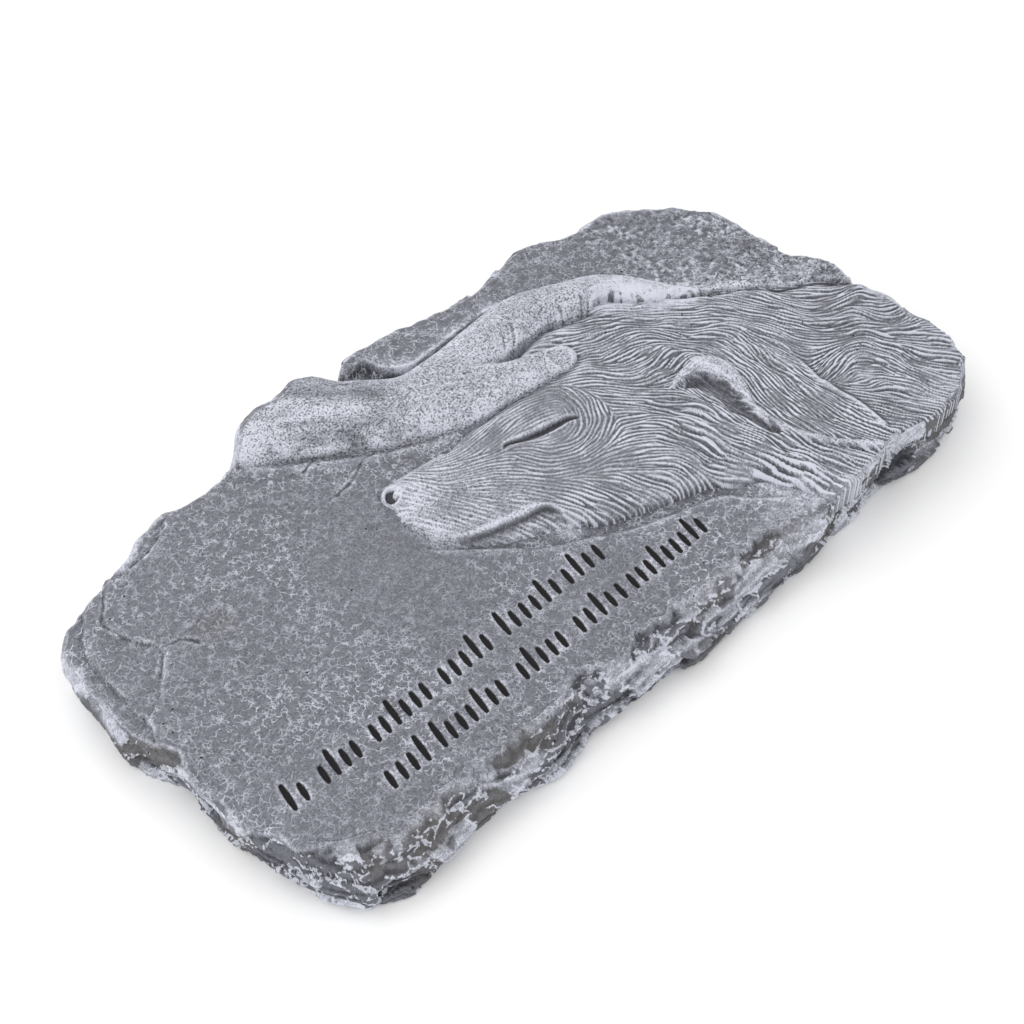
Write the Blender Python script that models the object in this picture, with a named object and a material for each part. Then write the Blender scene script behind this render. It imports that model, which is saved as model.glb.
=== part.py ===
"""Pet memorial stone: one cast slab of rough rock, carved in low relief.

A hand reaches in from the back edge and rests on the head of a sleeping dog, whose
fur runs out over the right end. The left half is a flat with two rows of shallow
strokes. The stone lies on its flat underside, its length along X, the hand side at +Y.
"""
import math

import bmesh
import bpy
import numpy as np

# Driving sizes, in metres.
LENGTH = 0.262           # left end to right end
WIDTH = 0.143            # front edge to back edge
THICKNESS = 0.0160       # underside to the flat of the slab
LAYER_RISE = 0.0036      # the upper layer of rock above the flat
HEAD_RISE = 0.0050       # the dog's cheek above the flat
NECK_RISE = 0.0036       # the neck fur above the flat
ARM_RISE = 0.0062        # the forearm above the flat
HAND_RISE = 0.0078       # the back of the hand above the flat
LOCK_RISE = 0.0018       # one lock of fur above the fur under it
EAR_RISE = 0.0019        # the ear's front fold above the neck fur
HOLLOW_DEPTH = 0.0024    # the hollow under the ear's fold
LID_RISE = 0.0014        # the closed eyelid above the brow
EYE_DEPTH = 0.0018       # the slit of the closed eye
JAW_DROP = 0.0015        # the lower jaw under the lip
CREASE_DEPTH = 0.0014    # the creases around the hand and between its fingers
RECESS_DEPTH = 0.0010    # the sunk ground along the dog's jaw
RIM_DROP = 0.0028        # the rounding of the rim
LEFT_DROP = 0.0042       # the broken rim of the left end
FRONT_DROP = 0.0095      # the broken slope of the front edge
STROKE_DEPTH = 0.0007    # the strokes cut in the flat
LEDGE_DEPTH = 0.0011     # how far the side face's ledges run in and out
FOOT_INSET = 0.0012      # how far the side face draws in at the underside
CELL = 0.00094           # one cell of the carving's grid, before it is thinned out

# The carving keeps its proportions: every place below is in drawn units, of which the
# stone is DRAWN_LENGTH long and DRAWN_WIDTH wide, with the middle of its box at DRAWN_MIDDLE.
DRAWN_LENGTH = 262.0
DRAWN_WIDTH = 143.0
DRAWN_MIDDLE = (-1.0, -1.0)
PLAIN_SHARE = 0.34       # the plain left end, as a share of the length
PLAIN_CELLS = 0.27       # and as a share of the cells along it
SIDE_SHARES = (0.84, 0.64, 0.44, 0.24, 0.08, 0.0)   # heights of the side's loops
TRIANGLES = 9900         # triangles left in the finished solid

# The rim of the stone, seen from above, as four sides that meet at the corners.
FRONT_RIM = [(-119, -61), (-110, -65), (-100, -66.5), (-84, -65), (-70, -67), (-56, -68),
             (-44, -66), (-30, -68), (-18, -68.5), (-8, -70.5), (8, -71), (24, -70.5), (38, -71.5),
             (52, -70.5), (66, -71), (80, -70), (92, -72.5), (105, -71.5), (116, -68.5), (124, -63)]
RIGHT_RIM = [(124, -63), (128.5, -55), (129.5, -47), (127.5, -40), (130, -31), (128, -20), (130, -11),
             (128.5, -3), (124, 5), (123.5, 14), (124, 24), (122, 35), (118, 44)]
BACK_RIM = [(118, 44), (108, 51.5), (98, 57.5), (84, 59), (76, 62), (67, 65.5), (58, 64.5), (50, 62.5),
            (41, 61.5), (32, 63), (22, 65.5), (12, 68), (1, 69), (-7, 68.5), (-10, 66), (-15, 68.5),
            (-22, 70.5), (-30, 68), (-38, 69), (-47, 66.5), (-52, 62.5), (-60, 61.5), (-70, 61),
            (-79, 63), (-88, 61), (-96, 56.5), (-108, 54), (-121, 50)]
LEFT_RIM = [(-121, 50), (-126.5, 45), (-129.5, 34), (-130.5, 25), (-132, 15), (-131, 5), (-128.5, -6),
            (-130, -16), (-129.5, -26), (-128, -38), (-125, -50), (-119, -61)]

# The upper layer of rock, behind the hand and over the right end.
LAYER = [(-10, 68), (-8, 63), (-1, 64), (0, 59), (4, 54), (9, 52), (30, 53), (40, 52.5), (48, 46), (70, 34),
         (88, 13), (94, 8), (100, 4), (103, 1), (106, -2), (110, -6), (118, -10), (134, -12), (150, 90), (-12, 90)]

# The hand: the arm's lower edge, the thumb, the fingers' lower edge, the upper edge.
HAND = [(-62, 82), (-53, 61), (-43, 52), (-35, 46), (-27, 40), (-20, 35), (-10, 30), (-2, 25.5), (5, 21.5),
        (12, 20), (20, 18.8), (30, 17.5), (38, 16.6), (42.5, 17.6), (44.6, 21), (43, 25), (38, 27.6),
        (31, 30), (25.5, 33.4), (31, 33.4), (43, 34), (51, 31.5), (59, 29), (66, 30.5), (70, 27),
        (73, 22.5), (78, 18), (83, 15.5), (88, 12), (92, 11), (90, 16), (86, 23), (82, 30.5), (75, 38),
        (65, 43), (55, 47.5), (45, 51), (30, 50.6), (14, 49.6), (4, 51), (-4, 58.6), (-11, 66), (-14, 82)]
KNUCKLES = [((36, 43), (9, 7), 0.10), ((52, 40), (8, 8), 0.12), ((66, 35), (7, 7), 0.10)]
FINGER_GAPS = [[(40, 35.5), (47, 37), (50, 41)], [(58, 29), (64, 32), (69, 37.5)]]
THUMB_NAIL = (38.5, 21.5)

# The dog: nose, jaw and throat, then far past the front and right rims and back under the hand.
DOG = [(-31, 24.4), (-34.2, 20.5), (-33.8, 17), (-35.4, 12), (-34.6, 4), (-32, -3), (-27.5, -8.5), (-20, -14),
       (-12, -18.5), (-4, -23), (3, -29), (12, -32.5), (22, -36.5), (33, -41), (38, -46), (44, -51), (47.5, -58),
       (50, -66), (53, -86), (150, -90), (150, 40), (60, 40), (-1, 22.5), (-11, 22.5), (-21, 23.6)]
LIP = [(-30, -7.5), (-25, -9.8), (-17, -12), (-9, -14.2), (-5.5, -16), (-4, -20)]
RECESS = [(-37, 1), (-31, -7), (-24, -14), (-16, -22.5), (-5, -29), (6, -35.5), (20, -41), (32, -45.5), (37, -52),
          (44, -58), (40, -45), (20, -32), (-20, -5)]
EYE = [(2, 10.2), (7, 7.4), (13, 4.4), (20, 2.4), (24.5, 0.8)]
NOSTRIL = [(-30.6, 21.6), (-32.6, 20.2), (-32, 18), (-29.8, 18)]
EAR_FOLD = [(50, -12.5), (55, -11), (61, -10.4), (66.4, -13.4), (68, -18.5), (65, -25.5), (61.4, -33),
            (60.4, -42), (62, -50), (66.5, -57.5), (72, -64), (76, -69)]
EAR_BACK = [(86, -31), (85.4, -38), (84.4, -46), (83.6, -54), (81, -63), (78, -68)]
EAR_HOLLOW = [(57, -13.5), (62, -12.8), (65.4, -16.5), (64.5, -22), (61.5, -28), (58.5, -33), (57.6, -26), (59.5, -19)]
SWIRL = (97, -48)
SWIRL_RADIUS = 13.0
LOCK_SPACING = 6.2
LOCK_WIDTH = 2.6
LOCK_LENGTH = 15.0
LOCK_SAMPLES = 9
LOCK_ROWS = 20
LOCK_COLUMNS = 24
LOCK_START = (2, 18)

# Which way the fur lies: place, and heading in degrees from +X.
FLOW = [(-28, 12, -70), (-24, 0, -60), (-12, 8, -30), (-10, -6, -45), (4, 14, -15), (4, -8, -52), (16, 12, 0),
        (18, -6, -50), (6, -22, -70), (16, -30, -70), (26, -24, -55), (30, -32, -78), (34, 8, -15), (40, -4, -38),
        (34, -18, -25), (41, -24, -60), (45, -34, -88), (50, -18, -35), (55, -24, -75), (42, -44, -62),
        (50, -44, -88), (52, -56, -68), (58, -64, -84), (54, -34, -95), (58, 12, -10), (66, 14, -52),
        (70, 4, -60), (56, -4, -5), (66, -6, -25), (74, -4, -45), (72, -24, -98), (80, -24, -100), (70, -44, -94),
        (78, -52, -88), (76, -34, -94), (86, -10, -50), (90, -20, -86), (96, -24, -66), (104, -12, -50),
        (102, -26, -62), (112, -26, -30), (122, -24, -12), (124, -34, -55), (114, -36, -66), (112, -48, -96),
        (120, -50, -58), (116, -58, -58), (90, -60, -60), (98, -66, -40), (106, -62, -75)]

# The strokes: for each row, its base line's left and right ends, then the words' spans.
STROKE_ROWS = [((-119, -35), (-5, -36), ((-119, -111), (-108, -94), (-91, -70), (-67, -48), (-45, -22), (-21, -5))),
               ((-98, -48), (21, -50), ((-98, -83), (-81, -56), (-52, -34), (-31, -11), (-10, 21)))]
STROKE_PITCH = 3.4
STROKE_HEIGHT = 4.6
STROKE_TALL = 7.4
STROKE_LEAN = 0.25
STROKE_HALF_WIDTH = 0.75


def collection(name):
    """A new collection in the scene."""
    made = bpy.data.collections.new(name)
    bpy.context.scene.collection.children.link(made)
    return made


def spline(points, closed=False, step=1.5):
    """A smooth curve through the points, as a dense row of points."""
    p = np.array(points, float)
    count = len(p)
    rows = []
    for i in range(count if closed else count - 1):
        if closed:
            a, b, c, d = (p[(i + k) % count] for k in (-1, 0, 1, 2))
        else:
            b, c = p[i], p[i + 1]
            a = p[i - 1] if i else 2 * b - c
            d = p[i + 2] if i + 2 < count else 2 * c - b
        steps = max(2, int(np.hypot(*(c - b)) / step))
        t = (np.arange(steps) / steps)[:, None]
        rows.append(0.5 * (2 * b + (c - a) * t + (2 * a - 5 * b + 4 * c - d) * t ** 2
                           + (3 * b - a - 3 * c + d) * t ** 3))
    if not closed:
        rows.append(p[-1:])
    return np.concatenate(rows)


def distance(x, y, line, closed=False):
    """How far each place is from the line, and how far along the line the nearest point is, from 0 to 1."""
    ends = np.roll(line, -1, axis=0) if closed else line[1:]
    starts = line if closed else line[:-1]
    best = np.full(x.shape, 1e9)
    along = np.zeros(x.shape)
    for i, (a, b) in enumerate(zip(starts, ends)):
        ab = b - a
        t = ((x - a[0]) * ab[0] + (y - a[1]) * ab[1]) / max(ab @ ab, 1e-12)
        t = np.clip(t, 0.0, 1.0)
        gap = np.hypot(x - a[0] - t * ab[0], y - a[1] - t * ab[1])
        nearer = gap < best
        best = np.where(nearer, gap, best)
        along = np.where(nearer, (i + t) / len(starts), along)
    return best, along


def depth_in(x, y, outline):
    """Distance to the closed outline, positive inside it."""
    gap, _ = distance(x, y, outline, closed=True)
    within = np.zeros(x.shape, bool)
    for a, b in zip(outline, np.roll(outline, -1, axis=0)):
        if a[1] == b[1]:
            continue
        crosses = (a[1] > y) != (b[1] > y)
        within ^= crosses & (x < a[0] + (y - a[1]) * (b[0] - a[0]) / (b[1] - a[1]))
    return np.where(within, gap, -gap)


def ease(t):
    """0 to 1 with soft ends."""
    t = np.clip(t, 0.0, 1.0)
    return t * t * (3 - 2 * t)


def dome(t):
    """A quarter round: 0 at 0, upright there, level at 1."""
    t = np.clip(t, 0.0, 1.0)
    return np.sqrt(1 - (1 - t) ** 2)


def mound(x, y, centre, radii, turn=0.0):
    """A soft bump, 1 at its centre."""
    c, s = math.cos(math.radians(turn)), math.sin(math.radians(turn))
    u = ((x - centre[0]) * c + (y - centre[1]) * s) / radii[0]
    v = ((y - centre[1]) * c - (x - centre[0]) * s) / radii[1]
    return np.exp(-(u * u + v * v))


def noise(x, y, cell, seed):
    """Smooth bumps about one cell wide, from -1 to 1."""
    table = np.random.default_rng(seed).uniform(-1, 1, (64, 64))
    u, v = x / cell + 500.0, y / cell + 500.0
    i, j = np.floor(u).astype(int), np.floor(v).astype(int)
    s, t = ease(u - i), ease(v - j)
    i, j = i % 64, j % 64
    i2, j2 = (i + 1) % 64, (j + 1) % 64
    low = table[i, j] * (1 - s) + table[i2, j] * s
    high = table[i, j2] * (1 - s) + table[i2, j2] * s
    return low * (1 - t) + high * t


def heading(x, y):
    """The direction of the fur at each place, as the cosine and sine of its angle."""
    total_c, total_s = np.zeros(np.shape(x)), np.zeros(np.shape(x))
    for px, py, angle in FLOW:
        weight = 1.0 / ((x - px) ** 2 + (y - py) ** 2 + 6.0) ** 2
        total_c = total_c + weight * math.cos(2 * math.radians(angle))
        total_s = total_s + weight * math.sin(2 * math.radians(angle))
    angle = np.arctan2(total_s, total_c) / 2
    c, s = np.cos(angle), np.sin(angle)
    flip = np.where(c - s < 0, -1.0, 1.0)
    c, s = c * flip, s * flip
    out = np.hypot(x - SWIRL[0], y - SWIRL[1]) + 1e-6
    pull = ease((SWIRL_RADIUS - out) / 6.0)
    c = c * (1 - pull) + pull * (y - SWIRL[1]) / out
    s = s * (1 - pull) - pull * (x - SWIRL[0]) / out
    size = np.hypot(c, s) + 1e-9
    return c / size, s / size


def locks(x, y):
    """Locks of fur on a grid of places, laid like shingles along the flow, as shares of one lock's rise."""
    draw = np.random.default_rng(7)
    laid = np.full(x.shape, 0.25)
    for row in range(LOCK_ROWS):
        for column in range(LOCK_COLUMNS):
            px = LOCK_START[0] + LOCK_SPACING * (column + 0.5 * (row % 2)) + draw.uniform(-1, 1)
            py = LOCK_START[1] - LOCK_SPACING * row * 0.8 + draw.uniform(-1, 1)
            width = LOCK_WIDTH * draw.uniform(0.8, 1.25)
            reach = LOCK_LENGTH * draw.uniform(0.7, 1.2)
            on_face = (px < 30 and py > -14) or (px < 52 and py > -4)
            if px > 128 or py < -72 or on_face:
                continue
            for k in range(LOCK_SAMPLES):
                share = k / (LOCK_SAMPLES - 1)
                half = width * (1.0 - 0.7 * share ** 2)
                near = (np.abs(x - px) < half) & (np.abs(y - py) < half)
                gap = ((x[near] - px) ** 2 + (y[near] - py) ** 2) / half ** 2
                laid[near] = np.maximum(laid[near], (0.35 + 0.65 * share) * np.clip(1 - gap, 0, 1))
                c, s = heading(px, py)
                px += float(c) * reach / LOCK_SAMPLES
                py += float(s) * reach / LOCK_SAMPLES
    for axis in (0, 1):
        laid = 0.5 * laid + 0.25 * (np.roll(laid, 1, axis) + np.roll(laid, -1, axis))
    return laid


def edge_drop(x, y, gap):
    """How far the top falls towards the rim: rounded, and at the front a broken slope in ragged steps."""
    ragged = noise(x, y, 7, 11) * 1.6 + noise(x, y, 2.6, 12) * 0.7
    front = ease((-44 - y) / 8) * ease((48 - x) / 12)
    reach = 6.2 + 2.8 * noise(x, y * 0, 17, 13)
    slope = np.clip((gap + ragged) / reach, 0, 1)
    steps = 3 + 0.6 * noise(x, y, 13, 14)
    stairs = (np.floor(slope * steps) + ease((slope * steps) % 1 * 2.0)) / steps
    broken = FRONT_DROP * (1 - np.clip(stairs, 0, 1)) ** 1.2
    left = ease((-112 - x) / 6) * (1 - front)
    near = 1 - dome((gap + ragged * 0.5) / 2.8)
    return front * broken + left * LEFT_DROP * near + (1 - front) * (1 - left) * RIM_DROP * near


def chips(x, y):
    """Shallow flakes broken from the left end and the back edge, as depths."""
    corner = spline([(-104, 57), (-110, 47), (-113, 43), (-112.5, 35), (-108, 26), (-111, 21), (-116, 16),
                     (-122, 12), (-134, 12), (-136, 60)], closed=True)
    outer = spline([(-104, 60), (-113, 50), (-120, 42), (-123, 33), (-124, 20), (-127, 4), (-140, 0),
                    (-140, 64)], closed=True)
    back = spline([(-103, 53.5), (-94, 53), (-86, 54.5), (-79, 59), (-72, 66), (-104, 68)], closed=True)
    nick = spline([(-104, 26), (-100, 22), (-93, 19.5), (-87, 21), (-88, 26), (-96, 27)], closed=True)
    depth = 0.0006 * ease(depth_in(x, y, corner) / 1.0)
    depth = depth + 0.0012 * ease(depth_in(x, y, outer) / 1.6)
    depth = depth + 0.0010 * ease(depth_in(x, y, back) / 1.2)
    depth = depth + 0.0005 * ease(depth_in(x, y, nick) / 2.5)
    bevel = ease((-121.5 - x) / 7) * ease((y + 52) / 6) * ease((-6 - y) / 6)
    return depth + 0.0013 * bevel


def strokes(x, y):
    """Rows of slanted strokes in the flat, as depths: plain marks, not letters."""
    depth = np.zeros(x.shape)
    for row, (left, right, words) in enumerate(STROKE_ROWS):
        for word, (start, end) in enumerate(words):
            count = max(2, int((end - start) / STROKE_PITCH))
            for k in range(count):
                share = (start + (k + 0.5) * (end - start) / count - left[0]) / (right[0] - left[0])
                foot = np.array(left) * (1 - share) + np.array(right) * share
                tall = STROKE_TALL if (k * 5 + word * 3 + row) % 4 == 0 else STROKE_HEIGHT
                head = foot + np.array([STROKE_LEAN * tall, tall])
                near = (np.abs(x - foot[0]) < tall) & (np.abs(y - foot[1] - tall / 2) < tall)
                gap, _ = distance(x[near], y[near], np.array([foot, head]))
                cut = np.clip(1.5 - gap / STROKE_HALF_WIDTH, 0, 1)
                depth[near] = np.maximum(depth[near], STROKE_DEPTH * cut)
    return depth


def slab_top(x, y):
    """The flat of the slab, with its chips, strokes and the sunk ground along the jaw."""
    ground = THICKNESS + 0.00025 * noise(x, y, 34, 1) + 0.00012 * noise(x, y, 9, 2)
    recess = depth_in(x, y, spline(RECESS, closed=True))
    ground = ground - RECESS_DEPTH * ease((recess + 0.3) / 2.2)
    beside_arm, _ = distance(x, y, spline([(-56, 62), (-44, 50), (-28, 37), (-12, 28), (0, 23.5)]))
    ground = ground + 0.0007 * np.exp(-(beside_arm / 2.4) ** 2)
    return ground - chips(x, y) - strokes(x, y)


def layer_top(x, y, inner):
    """The upper layer of rock, with a broken edge, at places inner inside its outline."""
    ragged = noise(x, y, 5, 21) * 0.8 + noise(x, y, 2.2, 22) * 0.4
    swell = 0.0004 * noise(x, y, 22, 23) + 0.0002 * noise(x, y, 8, 24)
    top = THICKNESS + LAYER_RISE - 0.0003 * ease((x - 60) / 60) + swell
    foot = THICKNESS - 0.002
    return np.where(inner > -2, foot + (top - foot) * ease((inner + ragged + 0.6) / 1.4), 0)


def hand_top(x, y, inner):
    """The forearm, the hand, its thumb and its bent fingers, at places inner inside the hand's outline."""
    on_dog = ease((x + 4) / 14)
    tip = ease((x - 62) / 26)
    thumb = ease((32 - y) / 4) * ease((x - 14) / 12)
    foot = THICKNESS - 0.0006 + (0.62 * HEAD_RISE + 0.0006) * on_dog * (1 - 0.35 * tip)
    crest = THICKNESS + ARM_RISE + (HAND_RISE - ARM_RISE) * ease((x + 8) / 34) - 0.0020 * tip
    crest = crest + 0.0008 * ease((x + 60) / 20) * ease((-x - 10) / 20) - 0.0010 * thumb
    shoulder = 13.0 - 4.0 * on_dog - 3.5 * thumb
    top = foot + (crest - foot) * dome(inner / shoulder)
    for centre, radii, share in KNUCKLES:
        top = top + share * HAND_RISE * mound(x, y, centre, radii, -20)
    for gap_line in FINGER_GAPS:
        gap, along = distance(x, y, spline(gap_line))
        top = top - CREASE_DEPTH * (1 - 0.6 * along) * np.exp(-(gap / 1.4) ** 2)
    nail = np.hypot((x - THUMB_NAIL[0]) / 3.4, (y - THUMB_NAIL[1]) / 4.0)
    top = top - 0.0005 * ease((1.15 - nail) / 0.3)
    return np.where(inner > 0, top, 0)


def face(x, y):
    """The brow, the closed eye, the cheek, the lip and the nose, as heights above the head's round."""
    lip, _ = distance(x, y, spline(LIP))
    below = depth_in(x, y, spline(LIP + [(-8, -25), (-22, -19), (-34, -9)], closed=True))
    rise = 0.0006 * np.exp(-((lip - 1.2) / 1.3) ** 2) * (below < 0)
    rise = rise - JAW_DROP * ease((below + 0.2) / 1.2) * ease((-1 - x) / 5)
    slit, along = distance(x, y, spline(EYE))
    opening = np.sin(math.pi * np.clip(along * 0.84 + 0.14, 0, 1))
    rise = rise + LID_RISE * mound(x, y, (15, 9.4), (10, 4.4), -16) * (0.35 + 0.65 * ease((slit + 0.2) / 1.6))
    rise = rise + 0.35 * LID_RISE * mound(x, y, (12, -1), (11, 3.4), -18)
    rise = rise - EYE_DEPTH * opening * np.exp(-(slit / 1.15) ** 2)
    rise = rise + 0.0007 * mound(x, y, (26, -16), (18, 13), -30) - 0.0006 * mound(x, y, (-8, 12), (12, 7), -10)
    rise = rise + 0.0010 * mound(x, y, (-31, 19.6), (3.6, 3.6)) - 0.0008 * mound(x, y, (-34.5, 15.4), (2.8, 1.8))
    hole, _ = distance(x, y, spline(NOSTRIL))
    return rise - 0.0013 * np.exp(-(hole / 1.0) ** 2)


def ear(x, y):
    """A rolled front fold over a hollow, a hanging flap and a low back edge, and how smooth they are."""
    hang = depth_in(x, y, spline(EAR_FOLD + EAR_BACK[::-1], closed=True))
    fold, share = distance(x, y, spline(EAR_FOLD))
    back, _ = distance(x, y, spline(EAR_BACK))
    roll = EAR_RISE * (0.4 + 0.6 * np.sin(math.pi * np.clip(share * 0.9 + 0.08, 0, 1)))
    width = 1.5 + 2.2 * np.exp(-((share - 0.3) / 0.2) ** 2)
    spread = np.where(hang > 0, 2.2 * width, 0.6 * width)
    hollow = depth_in(x, y, spline(EAR_HOLLOW, closed=True))
    rise = roll * np.exp(-(fold / spread) ** 2) + 0.3 * EAR_RISE * ease(hang / 2)
    rise = rise + 0.5 * EAR_RISE * np.exp(-(back / 1.6) ** 2) * ease((-28 - y) / 8)
    rise = rise - HOLLOW_DEPTH * ease((hollow + 0.4) / 2.4) - 0.3 * HOLLOW_DEPTH * mound(x, y, (58, -50), (4.5, 9), 20)
    smooth = ease((hollow + 1.5) / 2) + 0.7 * ease(hang / 3) + np.exp(-(fold / 3.0) ** 2)
    return rise, np.clip(smooth, 0, 1)


def dog_top(x, y, hand_inner, layer_inner):
    """The head, the ear and the neck fur of the sleeping dog, creased along the hand and the rock over it."""
    inner = depth_in(x, y, spline(DOG, closed=True, step=2))
    neck = ease((x - 34) / 40)
    rise = HEAD_RISE * (1 - neck) + NECK_RISE * neck - 0.0014 * ease((x - 84) / 44)
    top = THICKNESS - 0.0008 + (rise + 0.0008) * dome(inner / (13 - 6 * neck))
    ear_rise, smooth = ear(x, y)
    top = top + face(x, y) + ear_rise
    for over in (hand_inner, layer_inner):
        top = top - CREASE_DEPTH * np.exp(-(np.clip(-over, 0, None) / 2.2) ** 2)
    cover = LOCK_RISE * (1 - 0.8 * smooth) * ease(inner / 3)
    return np.where(inner > 0, top + cover * locks(x, y), 0)


def stone_top(x, y, gap):
    """The height of the stone's carved top, in metres, at drawn places gap inside the rim."""
    hand_inner = depth_in(x, y, spline(HAND, closed=True))
    layer_inner = depth_in(x, y, spline(LAYER, closed=True, step=3))
    top = np.maximum(slab_top(x, y), layer_top(x, y, layer_inner))
    top = np.maximum(top, dog_top(x, y, hand_inner, layer_inner))
    top = np.maximum(top, hand_top(x, y, hand_inner))
    return top - edge_drop(x, y, gap)


def rim_points(side, shares):
    """The points at these shares of the way along one side of the rim."""
    line = spline(side, step=1.0)
    run = np.concatenate([[0], np.cumsum(np.hypot(*np.diff(line, axis=0).T))])
    at = shares * run[-1]
    return np.stack([np.interp(at, run, line[:, 0]), np.interp(at, run, line[:, 1])], 1)


def carving_grid(across, along):
    """Spreads a square grid between the four sides of the rim, as a blend of opposite sides."""
    u = np.interp(np.linspace(0, 1, across + 1), (0, PLAIN_CELLS, 1), (0, PLAIN_SHARE, 1))
    v = np.linspace(0, 1, along + 1)
    front = rim_points(FRONT_RIM, u)[None]
    back = rim_points(BACK_RIM[::-1], u)[None]
    left = rim_points(LEFT_RIM[::-1], v)[:, None]
    right = rim_points(RIGHT_RIM, v)[:, None]
    u, v = u[None, :, None], v[:, None, None]
    corners = ((1 - u) * (1 - v) * front[:, :1] + u * (1 - v) * front[:, -1:]
               + (1 - u) * v * back[:, :1] + u * v * back[:, -1:])
    return (1 - v) * front + v * back + (1 - u) * left + u * right - corners


def rim_loop():
    """The whole rim as one closed row of points, counterclockwise."""
    return np.concatenate([spline(side)[:-1] for side in (FRONT_RIM, RIGHT_RIM, BACK_RIM, LEFT_RIM)])


def to_metres(x, y):
    """Drawn units to metres."""
    return ((x - DRAWN_MIDDLE[0]) * LENGTH / DRAWN_LENGTH,
            (y - DRAWN_MIDDLE[1]) * WIDTH / DRAWN_WIDTH)


def carve(mesh, cells_long, cells_wide):
    """Moves the vertices of a square grid into the carved top."""
    place = carving_grid(cells_long, cells_wide)
    x, y = place[..., 0], place[..., 1]
    gap, _ = distance(x, y, rim_loop(), closed=True)
    top = stone_top(x, y, gap)
    mx, my = to_metres(x, y)
    mesh.vertices.foreach_set("co", np.stack([mx, my, top], -1).astype(np.float32).ravel())


def side_offset(share, run):
    """How far the side face stands in from the rim at a share of its height, in metres."""
    ledge = LEDGE_DEPTH * (noise(run, share * 40, 11, 41) + 0.6 * noise(run, share * 60, 4, 42))
    return np.clip(LEDGE_DEPTH + ledge, 0.0, None) * ease((1 - share) * 5) + FOOT_INSET * (1 - share) ** 4


def add_sides(mesh):
    """Draws the rim down to the flat underside in rough steps, and closes it."""
    bm = bmesh.new()
    bm.from_mesh(mesh)
    edges = [e for e in bm.edges if e.is_boundary]
    start = edges[0]
    ring = [start.verts[0]]
    at = start.verts[1]
    while at is not ring[0]:
        ring.append(at)
        at = next(e.other_vert(at) for e in at.link_edges if e.is_boundary and e.other_vert(at) is not ring[-2])
    rim = np.array([v.co[:] for v in ring])
    ahead, behind = np.roll(rim, -6, axis=0), np.roll(rim, 6, axis=0)
    tangent = (ahead - behind)[:, :2]
    normal = np.stack([-tangent[:, 1], tangent[:, 0]], 1)
    normal /= np.linalg.norm(normal, axis=1)[:, None]
    if (normal * rim[:, :2]).sum() > 0:
        normal = -normal
    steps = np.hypot(*(np.roll(rim, -1, axis=0) - rim)[:, :2].T)
    run = np.cumsum(steps) / LENGTH * DRAWN_LENGTH
    for share in SIDE_SHARES:
        made = bmesh.ops.extrude_edge_only(bm, edges=edges)["geom"]
        fresh = {v for v in made if isinstance(v, bmesh.types.BMVert)}
        below = [next(e.other_vert(v) for e in v.link_edges if e.other_vert(v) in fresh) for v in ring]
        offset = side_offset(share, run)
        for v, spot, direction, inset in zip(below, rim, normal, offset):
            v.co = (spot[0] + direction[0] * inset, spot[1] + direction[1] * inset, spot[2] * share)
        ring = below
        edges = [e for e in made if isinstance(e, bmesh.types.BMEdge) and all(v in fresh for v in e.verts)]
    bmesh.ops.holes_fill(bm, edges=edges, sides=0)
    bmesh.ops.recalc_face_normals(bm, faces=bm.faces[:])
    bm.to_mesh(mesh)
    bm.free()


def thin_out(stone):
    """Collapses the mesh to the finished count and sets its underside flat again."""
    bpy.context.view_layer.objects.active = stone
    stone.select_set(True)
    mesh = stone.data
    triangles = sum(len(p.vertices) - 2 for p in mesh.polygons)
    thinner = stone.modifiers.new("Thin out", "DECIMATE")
    thinner.ratio = TRIANGLES / triangles
    thinner.use_collapse_triangulate = True
    bpy.ops.object.modifier_apply(modifier=thinner.name)
    flat = THICKNESS * SIDE_SHARES[-2] / 3
    for v in stone.data.vertices:
        if v.co.z < flat:
            v.co.z = 0.0


def stone_material():
    """Dry-brushed grey cast stone."""
    made = bpy.data.materials.new("carved_stone")
    made.use_nodes = True
    shader = made.node_tree.nodes["Principled BSDF"]
    shader.inputs["Base Color"].default_value = (0.23, 0.235, 0.26, 1.0)
    shader.inputs["Roughness"].default_value = 0.85
    shader.inputs["Metallic"].default_value = 0.0
    return made


def memorial_stone(home):
    """The whole stone, one closed solid."""
    cells_long, cells_wide = round(LENGTH / CELL), round(WIDTH / CELL)
    bpy.ops.mesh.primitive_grid_add(x_subdivisions=cells_long, y_subdivisions=cells_wide, size=1.0)
    stone = bpy.context.object
    stone.name = stone.data.name = "memorial_stone"
    for owner in list(stone.users_collection):
        owner.objects.unlink(stone)
    home.objects.link(stone)
    carve(stone.data, cells_long, cells_wide)
    add_sides(stone.data)
    thin_out(stone)
    stone.data.materials.append(stone_material())
    stone.data.shade_smooth()
    stone.data.set_sharp_from_angle(angle=math.radians(50))
    return stone


def main():
    for item in list(bpy.data.objects):
        bpy.data.objects.remove(item)
    memorial_stone(collection("pet_memorial_stone"))


main()
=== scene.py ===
"""Looks of a pet memorial stone: fine carving, broken rock and a dry-brushed finish over its solid.

Laid out as an add-on and run as a script. Plan places are in drawn millimetres, as in the part's
source, and heights in metres.
"""
import math

import bpy
import numpy as np
from bpy.props import FloatProperty, FloatVectorProperty, PointerProperty
from mathutils import Matrix, Vector


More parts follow.
